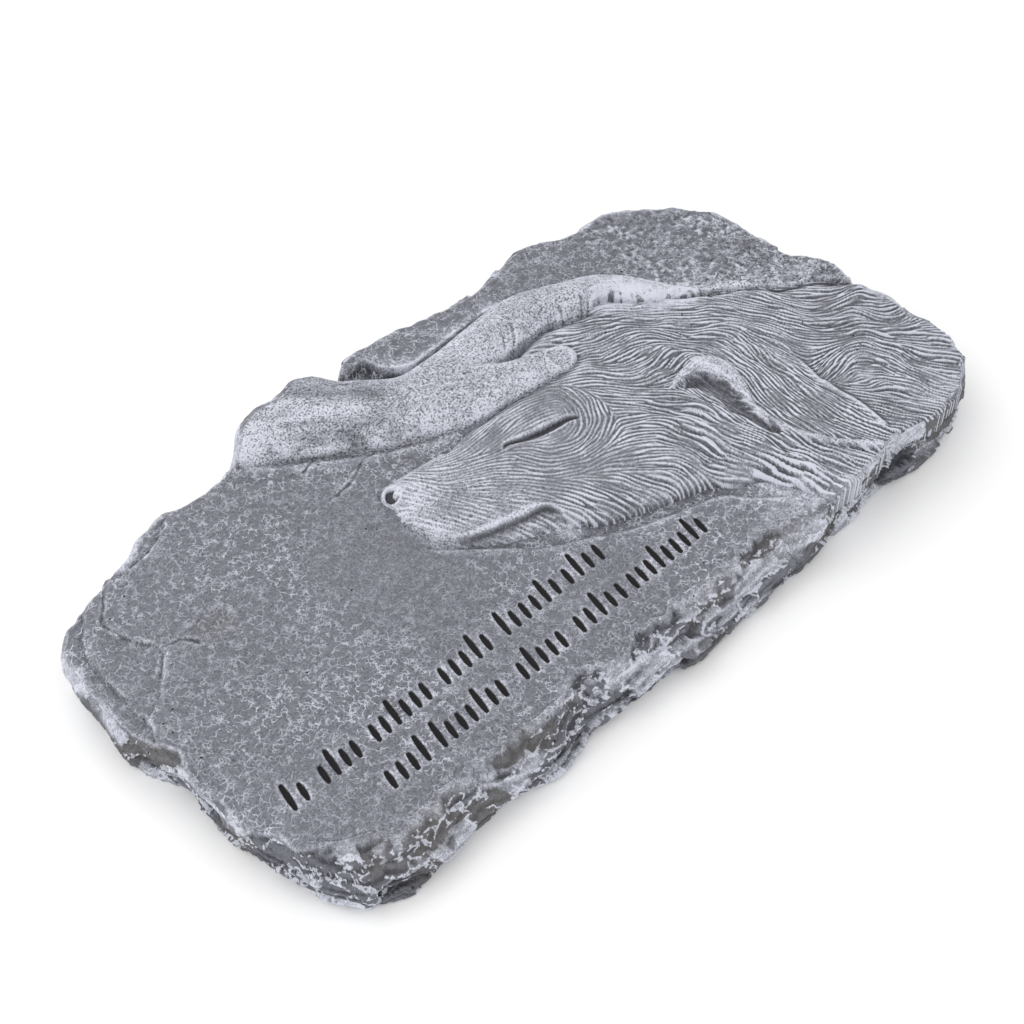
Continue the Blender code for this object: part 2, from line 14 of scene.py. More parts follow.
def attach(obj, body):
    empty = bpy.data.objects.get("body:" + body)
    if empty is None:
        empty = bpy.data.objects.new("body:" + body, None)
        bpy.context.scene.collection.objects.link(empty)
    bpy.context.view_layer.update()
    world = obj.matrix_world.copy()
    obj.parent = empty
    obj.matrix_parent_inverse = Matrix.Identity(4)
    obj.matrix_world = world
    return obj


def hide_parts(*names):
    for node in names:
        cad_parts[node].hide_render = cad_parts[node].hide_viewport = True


bl_info = {
    "name": "Pet memorial stone",
    "version": (1, 0, 0),
    "blender": (4, 5, 0),
    "location": "3D View > Sidebar > Memorial stone",
    "description": "Builds the carved and dry-brushed looks of a pet memorial stone",
    "category": "Object",
}

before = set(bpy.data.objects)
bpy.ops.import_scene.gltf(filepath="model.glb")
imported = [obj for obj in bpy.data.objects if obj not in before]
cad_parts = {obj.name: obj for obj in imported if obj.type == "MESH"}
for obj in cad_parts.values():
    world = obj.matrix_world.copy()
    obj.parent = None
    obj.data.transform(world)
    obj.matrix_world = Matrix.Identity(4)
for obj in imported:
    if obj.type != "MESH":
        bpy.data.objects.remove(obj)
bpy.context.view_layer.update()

DRAWN_LENGTH = 262.0
DRAWN_WIDTH = 143.0
DRAWN_MIDDLE = (-1.0, -1.0)

# The rim of the stone, seen from above, as four sides that meet at the corners.
FRONT_RIM = [(-119, -61), (-110, -65), (-100, -66.5), (-84, -65), (-70, -67), (-56, -68),
             (-44, -66), (-30, -68), (-18, -68.5), (-8, -70.5), (8, -71), (24, -70.5), (38, -71.5),
             (52, -70.5), (66, -71), (80, -70), (92, -72.5), (105, -71.5), (116, -68.5), (124, -63)]
RIGHT_RIM = [(124, -63), (128.5, -55), (129.5, -47), (127.5, -40), (130, -31), (128, -20), (130, -11),
             (128.5, -3), (124, 5), (123.5, 14), (124, 24), (122, 35), (118, 44)]
BACK_RIM = [(118, 44), (108, 51.5), (98, 57.5), (84, 59), (76, 62), (67, 65.5), (58, 64.5), (50, 62.5),
            (41, 61.5), (32, 63), (22, 65.5), (12, 68), (1, 69), (-7, 68.5), (-10, 66), (-15, 68.5),
            (-22, 70.5), (-30, 68), (-38, 69), (-47, 66.5), (-52, 62.5), (-60, 61.5), (-70, 61),
            (-79, 63), (-88, 61), (-96, 56.5), (-108, 54), (-121, 50)]
LEFT_RIM = [(-121, 50), (-126.5, 45), (-129.5, 34), (-130.5, 25), (-132, 15), (-131, 5), (-128.5, -6),
            (-130, -16), (-129.5, -26), (-128, -38), (-125, -50), (-119, -61)]

# The upper layer of rock, behind the hand and over the right end.
LAYER = [(-10, 68), (-8, 63), (-1, 64), (0, 59), (4, 53.2), (9, 50.9), (30, 51.7), (40, 51.3), (48, 46),
         (70, 34), (88, 13), (94, 8), (100, 4), (103, 1), (106, -2), (110, -6), (118, -10), (134, -12),
         (150, 90), (-12, 90)]

# The hand: the arm's lower edge, the thumb, the fingers' lower edge, the upper edge.
HAND = [(-62, 82), (-53, 61), (-43, 52), (-35, 46), (-27, 40), (-20, 35), (-10, 30), (-2, 25.5), (5, 21.5),
        (12, 20), (20, 18.8), (30, 17.5), (38, 16.6), (42.5, 17.6), (44.6, 21), (43, 25), (38, 27.6),
        (31, 30), (25.5, 33.4), (31, 33.4), (43, 34), (51, 31.5), (59, 29), (66, 30.5), (70, 27),
        (73, 22.5), (78, 18), (83, 15.5), (88, 12), (92, 11), (90, 16), (86, 23), (82, 30.5), (75, 38),
        (65, 43), (55, 47.5), (45, 51), (30, 50.6), (14, 49.6), (4, 51), (-4, 58.6), (-11, 66), (-14, 82)]
KNUCKLES = [((36, 43), (9, 7), 0.10), ((52, 40), (8, 8), 0.12), ((66, 35), (7, 7), 0.10)]
FINGER_GAPS = [[(27, 32.6), (22.5, 34), (18.5, 36)], [(40, 35.5), (47, 37), (50, 41)],
               [(58, 29), (64, 32), (69, 37.5)]]
THUMB_NAIL = (38.0, 20.9)
WRINKLES = [[(43, 34), (43.6, 31.6), (44.4, 29.8)], [(47.2, 34), (46.4, 31.4), (45, 28.8)],
            [(39.4, 33), (40.2, 30.6)], [(52.8, 35.4), (51.8, 32.6), (50.6, 29.8)],
            [(62.8, 32.2), (59.6, 28.6), (56, 25.2)], [(64.6, 31), (61.6, 27.8), (58.9, 24.9)],
            [(60.6, 33), (57.6, 29.8), (54.4, 27.2)], [(66.6, 29.4), (63.8, 26.6)],
            [(31, 33), (35, 36), (37, 40)], [(29, 34), (32, 38)]]

# The dog: nose, jaw and throat, then far past the front and right rims and back under the hand.
DOG = [(-31, 24.4), (-34.2, 20.5), (-33.8, 17), (-35.4, 12), (-34.6, 4), (-32, -3), (-27.5, -8.5),
       (-20, -14), (-12, -18.5), (-4, -23), (3, -29), (12, -32.5), (22, -36.5), (33, -41), (38, -46),
       (44, -51), (47.5, -58), (50, -66), (53, -86), (150, -90), (150, 40), (60, 40), (-1, 22.5),
       (-11, 22.5), (-21, 23.6)]
LIP = [(-32.6, -1.2), (-28.6, -5.3), (-24, -8.2), (-18, -10.8), (-12.8, -12.7), (-9, -13.5), (-6.2, -14.9),
       (-4.8, -17.8), (-4.6, -20.8)]
JAW_FRINGE = [(-22.4, -15.7), (-16.5, -18.8), (-11.3, -21.8), (-7.6, -23.4)]
RECESS = [(-37, 1), (-31, -7), (-24, -14), (-16, -22.5), (-5, -29), (6, -35.5), (20, -41), (32, -45.5),
          (37, -52), (44, -58), (40, -45), (20, -32), (-20, -5)]
EYE = [(0.2, 8.2), (2.6, 8.9), (5.6, 7.4), (9.4, 5.6), (13.2, 4.5), (17.7, 3.7), (21.4, 2.8), (24, 1.1)]
NOSE = (-31.6, 19.2)
EAR_BAND = [(51, -10.2), (56.7, -8.2), (62, -7.6), (66.7, -8.9), (69.4, -11.8), (70.3, -15.3),
            (69.2, -19.5), (67.2, -24.2), (65.2, -28.2), (62.8, -31.6), (61.5, -35.5), (61.1, -40.5),
            (61.7, -46), (64.6, -52.8), (68, -58), (71.8, -63), (75.6, -68.6), (73, -67.2), (69.4, -62.8),
            (65.5, -57.4), (62, -51.5), (60.1, -46), (59.9, -40), (60.4, -35), (61.4, -31), (62.8, -26.5),
            (64, -21.5), (64.2, -17), (62.8, -13.6), (60, -11.8), (56, -11), (52, -11.6)]
EAR_FLAP = [(62, -7.6), (72, -8), (84, -16), (87.4, -26), (85.2, -34), (83.4, -44), (83.4, -52),
            (82.4, -60), (80, -69), (76, -69), (66, -55), (60.8, -46), (61, -36), (66, -24)]
EAR_BACK = [(87.2, -25), (85.4, -33), (84.2, -37.5), (83.2, -43.3), (83.0, -47.3), (83.3, -51),
            (82.6, -57.3), (81.2, -63.5)]
EAR_HOLLOW = [(54.4, -13.4), (56.8, -11.8), (60, -12.6), (62.8, -14.4), (63.9, -17.5), (63.6, -21.5),
              (62.4, -26.5), (61, -30.5), (59.6, -36), (59.4, -44), (57.4, -42), (57.4, -33), (56, -29),
              (57, -25), (57.8, -20), (56.8, -15.6)]

# Which way the fur lies: place, and heading in degrees from +X.
FLOW = [(-28, 12, -70), (-24, 0, -60), (-12, 8, -30), (-10, -6, -45), (-4, -14, -60), (2, 14, -5),
        (2, -3, -60), (9, -9, -32), (16, -11, -5), (23, -8, 22), (28, -1, 55), (30, 8, 85), (14, 12, -12),
        (22, 15, -25), (4, -22, -70), (14, -28, -68), (22, -20, -35), (26, -28, -50), (30, -34, -74),
        (34, 10, -25), (38, -4, -45), (34, -16, -35), (41, -24, -62), (43, -33, -92), (36, -42, -55),
        (45, -34, -88), (42, 0, -50), (44, -6, -45), (44, 6, -50), (52, 8, -20), (53, -4, -10), (59, -6, 4),
        (62, -1, 0), (67, 1, -60), (70, 3, -85), (73, -7, -80), (77, -4, -45), (47, -13, -38),
        (45, -20, -60), (50, -18, -45), (55, -17, -80), (48, -31, -90), (54, -30, -92), (49, -40, -86),
        (47, -46, -72), (54, -46, -88), (49, -52, -58), (44, -57, -52), (47, -62, -84), (53, -58, -66),
        (57, -64, -88), (51, -68, -80), (60, 12, -20), (66, 12, -42), (72, 6, -45), (80, 4, -45),
        (80, -11, -85), (76, -20, -80), (80, -19, -112), (72, -32, -100), (76, -42, -86), (70, -48, -92),
        (77, -56, -88), (66, -40, -92), (83, -30, -80), (83, -46, -88), (87, -4, -50), (94, -9, -55),
        (95, -13, -66), (98, -15, -70), (91, -19, -76), (96, -25, -52), (106, -32, -42), (104, -18, -58),
        (112, -20, -28), (120, -22, -14), (123, -28, -52), (117, -31, -88), (112, -29, -40),
        (117, -41, -45), (124, -42, -25), (117, -48, -55), (111, -40, -80), (109, -51, -98),
        (108, -57, -62), (103, -53, -94), (97, -37, -3), (91, -36, -8), (102, -37, -28), (106, -42, -72),
        (91, -41, 0), (91, -44, -6), (88, -50, -62), (94, -52, -8), (98, -56, -60), (88, -58, -60),
        (92, -63, -42), (97, -63, -62), (104, -61, -78), (112, -62, -55), (118, -56, -50), (96, -47, -40)]

# Where the fur lies in thick strands: place, radii, strength.
BOLD_FUR = [((47, -58), (12, 15), -30, 1.0), ((45, -28), (9, 12), -20, 0.8),
            ((112, -44), (14, 20), 0, 0.35), ((98, -60), (12, 7), 0, 0.4), ((112, -24), (12, 7), -30, 0.3),
            ((58, -2), (9, 5), 0, 0.5)]

# The strokes: for each row, its base line's left and right ends, then the words' spans.
STROKE_ROWS = [((-119, -35), (-5, -36),
                ((-119, -111), (-108, -94), (-91, -70), (-67, -48), (-45, -22), (-21, -5))),
               ((-98, -48), (21, -50), ((-98, -83), (-81, -56), (-52, -34), (-31, -11), (-10, 21)))]

# Thin cracks in the flat and in the upper layer.
CRACKS = [[(-41, 32), (-34, 33), (-27, 36), (-23, 36)], [(-41, 45), (-34, 47)],
          [(-105, 54), (-110, 47), (-113, 44), (-113, 39), (-112, 34), (-108, 26), (-111, 22), (-114, 19)],
          [(-108, 26), (-102, 24), (-100, 20)], [(0, 66), (1.5, 61), (3, 56)],
          [(84, 18), (92, 14), (99, 11), (106, 3)]]

# Brownish patches: place, radii, strength.
STAINS = [((-93, 22), (6, 4), 0.6), ((-10, 29), (10, 3), 0.3), ((-100, -62), (10, 4), 1.0),
          ((-62, -62), (7, 4), 0.6), ((88, 10), (5, 3), 1.0), ((-112, -57), (5, 3), 0.9),
          ((4, -64), (9, 3), 0.5), ((34, -66), (8, 3), 0.6)]

# Pale dry-brushed patches, painted highlights and painted shade on the hand, and smoother parts of the
# flat: place, radii, turn in degrees, strength.
PALE_PATCHES = [((70, 27), (8, 5), -40, 1.2), ((78, 19), (9, 5), -50, 1.2), ((86, 13), (5, 4), 0, 0.9),
                ((95, 10), (9, 5), -40, 0.35), ((106, 4), (10, 5), -30, 0.3),
                ((122, -6), (8, 3), -10, 0.35), ((-46, 61), (9, 5), -45, 0.6),
                ((-30, 62), (12, 3), -38, 0.5), ((-22, 52), (16, 3), -38, 0.4),
                ((-120, -55), (3, 2), 0, 1.2), ((-30, 14), (4, 6), 10, 0.4), ((-33, 2), (2.5, 9), 15, 0.4),
                ((-6, -22), (4, 2.5), -40, 0.6), ((48, -62), (11, 9), -35, 0.55),
                ((46, -50), (8, 6), -40, 0.4), ((38, -62), (10, 5), 0, 0.4), ((58, -70), (9, 3), 0, 0.7),
                ((106, -66), (14, 4), -10, 0.4), ((96, -47), (2.5, 2), 0, 0.9),
                ((95, -62.5), (1.5, 1), 0, 1.0)]
HAND_HIGHLIGHTS_AND_SHADE = [((-35, 58), (18, 3.2), -18, 0.30), ((-50, 62), (8, 5), 0, 0.35),
              ((-10, 33), (16, 5), -35, 0.20), ((20, 38), (10, 5), -20, 0.18),
              ((-6, 52), (10, 8), -40, -0.20), ((-30, 45), (16, 3), -38, -0.22)]
SMOOTH_SPOTS = [((-93, 14), (22, 16), 0, 0.5), ((-50, 10), (18, 22), 0, 0.6),
                ((-112, -20), (10, 20), 0, 0.3), ((-20, -40), (30, 10), 0, 0.4)]


class StoneSizes(bpy.types.PropertyGroup):
    """Sizes of the slab and its broken rock."""
    length: FloatProperty(name="Length", description="Left end to right end", default=0.262, unit="LENGTH")
    width: FloatProperty(name="Width", description="Front edge to back edge", default=0.143, unit="LENGTH")
    thickness: FloatProperty(name="Thickness", description="Underside to the flat of the slab",
                             default=0.0160, unit="LENGTH")
    layer_rise: FloatProperty(name="Upper layer", description="Upper layer of rock above the flat",
                              default=0.0036, unit="LENGTH")
    rim_drop: FloatProperty(name="Rim drop", description="Rounding of the rim", default=0.0028, unit="LENGTH")
    left_drop: FloatProperty(name="Left drop", description="Broken rim of the left end",
                             default=0.0042, unit="LENGTH")
    front_drop: FloatProperty(name="Front drop", description="Broken slope of the front edge",
                              default=0.0095, unit="LENGTH")
    ledge_depth: FloatProperty(name="Ledges", description="How far the side's ledges run in and out",
                               default=0.0011, unit="LENGTH")
    foot_inset: FloatProperty(name="Foot inset", description="How far the side draws in at the underside",
                              default=0.0012, unit="LENGTH")
    flake_depth: FloatProperty(name="Flake depth", description="Depth of the broken facets",
                               default=0.0016, unit="LENGTH")
    stroke_depth: FloatProperty(name="Stroke depth", description="Depth of the strokes in the flat",
                                default=0.0006, unit="LENGTH")
    stroke_pitch: FloatProperty(name="Stroke pitch", description="Drawn millimetres from stroke to stroke",
                                default=3.4)
    stroke_half_width: FloatProperty(name="Stroke half width", description="In drawn millimetres",
                                     default=0.9)


class CarvingSizes(bpy.types.PropertyGroup):
    """Heights of the dog and the hand above the flat."""
    head_rise: FloatProperty(name="Head", description="The dog's cheek above the flat",
                             default=0.0050, unit="LENGTH")
    neck_rise: FloatProperty(name="Neck", description="The neck fur above the flat",
                             default=0.0036, unit="LENGTH")
    arm_rise: FloatProperty(name="Arm", description="The forearm above the flat",
                            default=0.0062, unit="LENGTH")
    hand_rise: FloatProperty(name="Hand", description="The back of the hand above the flat",
                             default=0.0078, unit="LENGTH")
    ear_rise: FloatProperty(name="Ear fold", description="The ear's front fold above the neck fur",
                            default=0.0019, unit="LENGTH")
    hollow_depth: FloatProperty(name="Ear hollow", description="The hollow under the ear's fold",
                                default=0.0019, unit="LENGTH")
    lid_rise: FloatProperty(name="Eyelid", description="The closed eyelid above the brow",
                            default=0.0018, unit="LENGTH")
    eye_depth: FloatProperty(name="Eye slit", description="The slit of the closed eye",
                             default=0.0018, unit="LENGTH")
    jaw_drop: FloatProperty(name="Jaw", description="The lower jaw under the lip",
                            default=0.0015, unit="LENGTH")
    crease_depth: FloatProperty(name="Creases", description="Creases around the hand and between its fingers",
                                default=0.0014, unit="LENGTH")
    recess_depth: FloatProperty(name="Recess", description="The sunk ground along the dog's jaw",
                                default=0.0010, unit="LENGTH")
    strand_pitch: FloatProperty(name="Strand pitch", description="Drawn millimetres from strand to strand",
                                default=1.05)
    strand_rise: FloatProperty(name="Strands", description="One strand of fur",
                               default=0.00030, unit="LENGTH")
    lock_rise: FloatProperty(name="Locks", description="One lock of fur", default=0.00055, unit="LENGTH")


class StoneColours(bpy.types.PropertyGroup):
    """Colours of the painted and dry-brushed stone."""
    ground: FloatVectorProperty(name="Ground", description="The grey of the cast stone", subtype="COLOR",
                                default=(0.135, 0.139, 0.163))
    # The dry brush colour also paints the hand's highlights
    pale: FloatVectorProperty(name="Dry brush", description="The pale paint brushed over the raised parts",
                              subtype="COLOR", default=(0.64, 0.66, 0.74))
    # The wash colour also paints the shade in creases, hollows, the eye's slit, under the lip and under the
    # rock
    deep: FloatVectorProperty(name="Wash", description="The dark wash in the hollows", subtype="COLOR",
                              default=(0.034, 0.035, 0.042))
    stain: FloatVectorProperty(name="Stain", description="Brownish patches", subtype="COLOR",
                               default=(0.088, 0.080, 0.072))
    stroke: FloatVectorProperty(name="Strokes", description="The dark paint in the strokes", subtype="COLOR",
                                default=(0.012, 0.011, 0.012))
    floor: FloatVectorProperty(name="Floor", description="The studio floor", subtype="COLOR",
                               default=(0.93, 0.93, 0.93))


class StudioSettings(bpy.types.PropertyGroup):
    """The studio's camera and lights."""
    eye: FloatVectorProperty(name="Camera place", description="Where the camera stands", subtype="XYZ",
                             unit="LENGTH", default=(-0.2640, -0.2447, 0.4002))
    azimuth: FloatProperty(name="Camera turn", description="Round the stone, from the front", subtype="ANGLE",
                           default=math.radians(-46.7))
    elevation: FloatProperty(name="Camera height", description="Above the horizon", subtype="ANGLE",
                             default=math.radians(47.85))
    lens: FloatProperty(name="Focal length", description="On a 36 mm frame, in millimetres", default=66.69)
    key_power: FloatProperty(name="Key light", description="The soft light from behind",
                             default=4.3, unit="POWER")
    fill_power: FloatProperty(name="Fill light", description="The soft light from the left", default=1.7,
                              unit="POWER")
    sky: FloatProperty(name="Sky", description="Strength of the white surroundings", default=1.0)


def stone_sizes():
    return bpy.context.scene.stone_sizes


def carving_sizes():
    return bpy.context.scene.carving_sizes


# Curves, distances and noise.

def spline(points, closed=False, step=1.5):
    """A smooth curve through the points, as a dense row of points."""
    p = np.array(points, float)
    count = len(p)
    rows = []
    for i in range(count if closed else count - 1):
        if closed:
            a, b, c, d = (p[(i + k) % count] for k in (-1, 0, 1, 2))
        else:
            b, c = p[i], p[i + 1]
            a = p[i - 1] if i else 2 * b - c
            d = p[i + 2] if i + 2 < count else 2 * c - b
        steps = max(2, int(np.hypot(*(c - b)) / step))
        t = (np.arange(steps) / steps)[:, None]
        rows.append(0.5 * (2 * b + (c - a) * t + (2 * a - 5 * b + 4 * c - d) * t ** 2
                           + (3 * b - a - 3 * c + d) * t ** 3))
    if not closed:
        rows.append(p[-1:])
    return np.concatenate(rows)


def distance(x, y, line, closed=False):
    """How far each place is from the line, and how far along the line the nearest point is, from 0 to 1."""
    ends = np.roll(line, -1, axis=0) if closed else line[1:]
    starts = line if closed else line[:-1]
    best = np.full(x.shape, 1e9)
    along = np.zeros(x.shape)
    for i, (a, b) in enumerate(zip(starts, ends)):
        ab = b - a
        t = ((x - a[0]) * ab[0] + (y - a[1]) * ab[1]) / max(ab @ ab, 1e-12)
        t = np.clip(t, 0.0, 1.0)
        gap = (x - a[0] - t * ab[0]) ** 2 + (y - a[1] - t * ab[1]) ** 2
        nearer = gap < best
        best = np.where(nearer, gap, best)
        along = np.where(nearer, (i + t) / len(starts), along)
    return np.sqrt(best), along


def depth_in(x, y, outline):
    """Distance to the closed outline, positive inside it."""
    gap, _ = distance(x, y, outline, closed=True)
    within = np.zeros(x.shape, bool)
    for a, b in zip(outline, np.roll(outline, -1, axis=0)):
        if a[1] == b[1]:
            continue
        crosses = (a[1] > y) != (b[1] > y)
        within ^= crosses & (x < a[0] + (y - a[1]) * (b[0] - a[0]) / (b[1] - a[1]))
    return np.where(within, gap, -gap)


def ease(t):
    """0 to 1 with soft ends."""
    t = np.clip(t, 0.0, 1.0)
    return t * t * (3 - 2 * t)


def dome(t):
    """A quarter round: 0 at 0, upright there, level at 1."""
    t = np.clip(t, 0.0, 1.0)
    return np.sqrt(1 - (1 - t) ** 2)


def mound(x, y, centre, radii, turn=0.0):
    """A soft bump, 1 at its centre."""
    c, s = math.cos(math.radians(turn)), math.sin(math.radians(turn))
    u = ((x - centre[0]) * c + (y - centre[1]) * s) / radii[0]
    v = ((y - centre[1]) * c - (x - centre[0]) * s) / radii[1]
    return np.exp(-(u * u + v * v))


def ridge(gap, width):
    """A soft line, 1 where the gap is 0."""
    return np.exp(-(gap / width) ** 2)


def patches_soft(x, y, spots):
    """How strongly the soft mounds cover each place, from 0 to 1."""
    total = np.zeros(x.shape)
    for centre, radii, turn, strength in spots:
        total = np.maximum(total, strength * np.clip(1.5 * mound(x, y, centre, radii, turn), 0, 1))
    return total


def noise(x, y, cell, seed):
    """Smooth bumps about one cell wide, from -1 to 1."""
    table = np.random.default_rng(seed).uniform(-1, 1, (64, 64))
    u, v = x / cell + 500.0, y / cell + 500.0
    i, j = np.floor(u).astype(int), np.floor(v).astype(int)
    s, t = ease(u - i), ease(v - j)
    i, j = i % 64, j % 64
    i2, j2 = (i + 1) % 64, (j + 1) % 64
    low = table[i, j] * (1 - s) + table[i2, j] * s
    high = table[i, j2] * (1 - s) + table[i2, j2] * s
    return low * (1 - t) + high * t


def blur(field, radius, wrap=False):
    """A field smoothed over a radius in cells."""
    reach = max(1, int(math.ceil(2.5 * radius)))
    weights = np.exp(-0.5 * (np.arange(-reach, reach + 1) / radius) ** 2)
    weights /= weights.sum()
    out = field
    for axis in (0, 1):
        if wrap and axis == 0:
            out = sum(w * np.roll(out, k, axis) for k, w in zip(range(-reach, reach + 1), weights))
            continue
        ends = [(reach, reach) if axis == a else (0, 0) for a in (0, 1)]
        padded = np.pad(out, ends, mode="edge")
        size = out.shape[axis]
        out = sum(w * np.take(padded, range(k, k + size), axis=axis) for k, w in enumerate(weights))
    return out


def facets(p, seed):
    """Flat broken facets in cells of size 1 at places p: how far each stands out, its number, and how far in
    each place is from the facet's border."""
    draw = np.random.default_rng(seed)
    seeds = draw.uniform(0.08, 0.92, (16, 16, 16, 3))
    tilt = draw.normal(0, 0.75, (16, 16, 16, 3))
    level = draw.uniform(-1, 1, (16, 16, 16))
    cell = np.floor(p).astype(int)
    first, second = np.full(len(p), 9.0), np.full(len(p), 9.0)
    height, number = np.zeros(len(p)), np.zeros(len(p), int)
    for offset in np.ndindex(3, 3, 3):
        at = cell + np.array(offset) - 1
        i, j, k = (at % 16).T
        d = p - at - seeds[i, j, k]
        near = (d * d).sum(1)
        closer = near < first
        height = np.where(closer, level[i, j, k] + (d * tilt[i, j, k]).sum(1), height)
        number = np.where(closer, (i * 16 + j) * 16 + k, number)
        second = np.where(closer, first, np.minimum(second, near))
        first = np.minimum(first, near)
    return np.clip(height, -1.7, 1.7), number, (np.sqrt(second) - np.sqrt(first)) / 2


def border_distance(depth, mm):
    """The depth inside a facet turned into drawn millimetres, over the ring's grid of places mm."""
    steepest = np.zeros(depth.shape)
    for axis in (0, 1):
        rise = np.abs(np.roll(depth, -1, axis) - depth)
        step = np.linalg.norm(np.roll(mm, -1, axis) - mm, axis=-1) + 0.05
        slope = rise / step
        if axis == 1:
            slope[:, -1] = slope[:, -2]
        steepest = steepest + np.maximum(slope, np.roll(slope, 1, axis)) ** 2
    return np.clip(depth / np.sqrt(steepest + 1e-4), 0, 4)


# The fur.

def heading(x, y):
    """The direction of the fur at each place, as the cosine and sine of its angle."""
    total_c, total_s = np.zeros(np.shape(x)), np.zeros(np.shape(x))
    for px, py, angle in FLOW:
        weight = 1.0 / ((x - px) ** 2 + (y - py) ** 2 + 6.0) ** 2
        total_c = total_c + weight * math.cos(2 * math.radians(angle))
        total_s = total_s + weight * math.sin(2 * math.radians(angle))
    angle = np.arctan2(total_s, total_c) / 2
    c, s = np.cos(angle), np.sin(angle)
    flip = np.where(c - s < 0, -1.0, 1.0)
    c, s = c * flip, s * flip
    wave = (0.26 * noise(x, y, 13, 71) + 0.16 * noise(x, y, 6, 72)) * (0.4 + 0.6 * ease((x - 20) / 30))
    c, s = c * np.cos(wave) - s * np.sin(wave), s * np.cos(wave) + c * np.sin(wave)
    size = np.hypot(c, s) + 1e-9
    return c / size, s / size


def comb(field, c, s, steps):
    """The field averaged along the flow, steps cells each way."""
    rows, columns = field.shape
    total = field * 1.0
    weight = 1.0
    jj, ii = np.mgrid[0:rows, 0:columns].astype(float)
    for way in (1.0, -1.0):
        px, py = ii.copy(), jj.copy()
        dx, dy = c * way, s * way
        for k in range(steps):
            px = np.clip(px + dx, 0, columns - 1.001)
            py = np.clip(py + dy, 0, rows - 1.001)
            i, j = px.astype(int), py.astype(int)
            fx, fy = px - i, py - j
            share = 1 - (k + 1) / (steps + 1)
            total += share * ((field[j, i] * (1 - fx) + field[j, i + 1] * fx) * (1 - fy)
                              + (field[j + 1, i] * (1 - fx) + field[j + 1, i + 1] * fx) * fy)
            weight += share
            near_c, near_s = c[j, i], s[j, i]
            turn = np.where(near_c * dx + near_s * dy < 0, -1.0, 1.0)
            dx, dy = near_c * turn, near_s * turn
    return total / weight


def combed(c, s, pitch, steps, rounds, seed):
    """Even ridges along the flow, pitch cells apart, from -1 to 1."""
    field = np.random.default_rng(seed).normal(0, 1, c.shape)
    for _ in range(rounds):
        field = comb(field, c, s, steps)
        field = blur(field, 0.17 * pitch) - blur(field, 0.36 * pitch)
        field = np.tanh(1.6 * field / (field.std() + 1e-9))
    return field


def fur(x, y, cell):
    """Strands and locks of fur on a square grid of places, each from -1 to 1."""
    c, s = heading(x, y)
    pitch = carving_sizes().strand_pitch / cell
    fine = combed(c, s, pitch, 6, 4, 81)
    thick = combed(c, s, 1.5 * pitch, 9, 4, 84)
    bold = patches_soft(x, y, BOLD_FUR)
    loose = noise(x, y, 3.4, 82) + 0.5 * noise(x, y, 1.7, 83)
    bundles = comb(comb(loose, c, s, 16), c, s, 16)
    bundles = np.tanh(1.3 * bundles / bundles.std())
    parts = comb(noise(x, y, 2.3, 85) + 0.7 * noise(x, y, 5, 86), c, s, 10)
    amount = np.clip(0.80 + 0.30 * parts / parts.std(), 0.25, 1.25)
    strands = fine * (1 - 0.75 * bold) + thick * bold
    return np.clip(strands * amount, -1, 1), bundles, bold


# The carved surfaces, as heights in metres.

def crag(x, y, cell, seed):
    """Angular bumps with sharp crests, from -1 to 1."""
    return 1 - 3.2 * np.abs(noise(x, y, cell, seed))


def edge_zones(x, y):
    """How much each place belongs to the broken front slope and to the broken left end."""
    front = ease((-44 - y) / 8) * ease((46 - x) / 10)
    return front, ease((-112 - x) / 6) * (1 - front)


def edge_line(x, y):
    """How far inside the rim the carved top breaks off, in drawn millimetres."""
    front, left = edge_zones(x, y)
    ragged = 1.2 * crag(x, y, 14, 11) + 0.6 * crag(x, y, 5.5, 12) + 0.25 * noise(x, y, 1.9, 16)
    plain = 2.0 + 0.45 * ragged
    return np.clip(plain + front * (5.2 + 1.2 * ragged) + left * (0.6 + 0.4 * ragged), 0.6, 10.5)


def seam_line(at):
    """How far inside the rim the reliefs begin, over the rim piece's own copy of the top."""
    plain = ease(-at["dog_in"] / 1.5) * ease(-at["hand_in"] / 1.5)
    return at["edge"] + 0.15 + 2.2 * plain


def chips(x, y):
    """Shallow flakes broken from the left end and the back edge, as depths."""
    corner = spline([(-104, 57), (-110, 47), (-113, 43), (-112.5, 35), (-108, 26), (-111, 21), (-116, 16),
                     (-122, 12), (-134, 12), (-136, 60)], closed=True)
    outer = spline([(-104, 60), (-113, 50), (-120, 42), (-123, 33), (-124, 20), (-127, 4), (-140, 0),
                    (-140, 64)], closed=True)
    back = spline([(-103, 53.5), (-94, 53), (-86, 54.5), (-79, 59), (-72, 66), (-104, 68)], closed=True)
    nick = spline([(-104, 26), (-100, 22), (-93, 19.5), (-87, 21), (-88, 26), (-96, 27)], closed=True)
    ragged = 0.5 * noise(x, y, 2.5, 17)
    depth = 0.0004 * ease((depth_in(x, y, corner) + ragged) / 0.8)
    depth = depth + 0.0008 * ease((depth_in(x, y, outer) + ragged) / 1.0)
    depth = depth + 0.0010 * ease((depth_in(x, y, back) + ragged) / 0.8)
    depth = depth + 0.0004 * ease((depth_in(x, y, nick) + ragged) / 2.5)
    bevel = ease((-121.5 - x) / 7) * ease((y + 52) / 6) * ease((-6 - y) / 6)
    return depth + 0.0013 * bevel


def crack_gap(x, y):
    """Distance to the nearest crack, a little uneven."""
    gaps = [distance(x, y, spline(crack))[0] for crack in CRACKS]
    return np.minimum.reduce(gaps) + 0.25 * noise(x, y, 1.5, 4)


def crack_marks(x, y):
    """Thin cracks, 1 in their middle."""
    return ridge(crack_gap(x, y), 0.36) * (0.65 + 0.4 * noise(x, y, 3, 5))


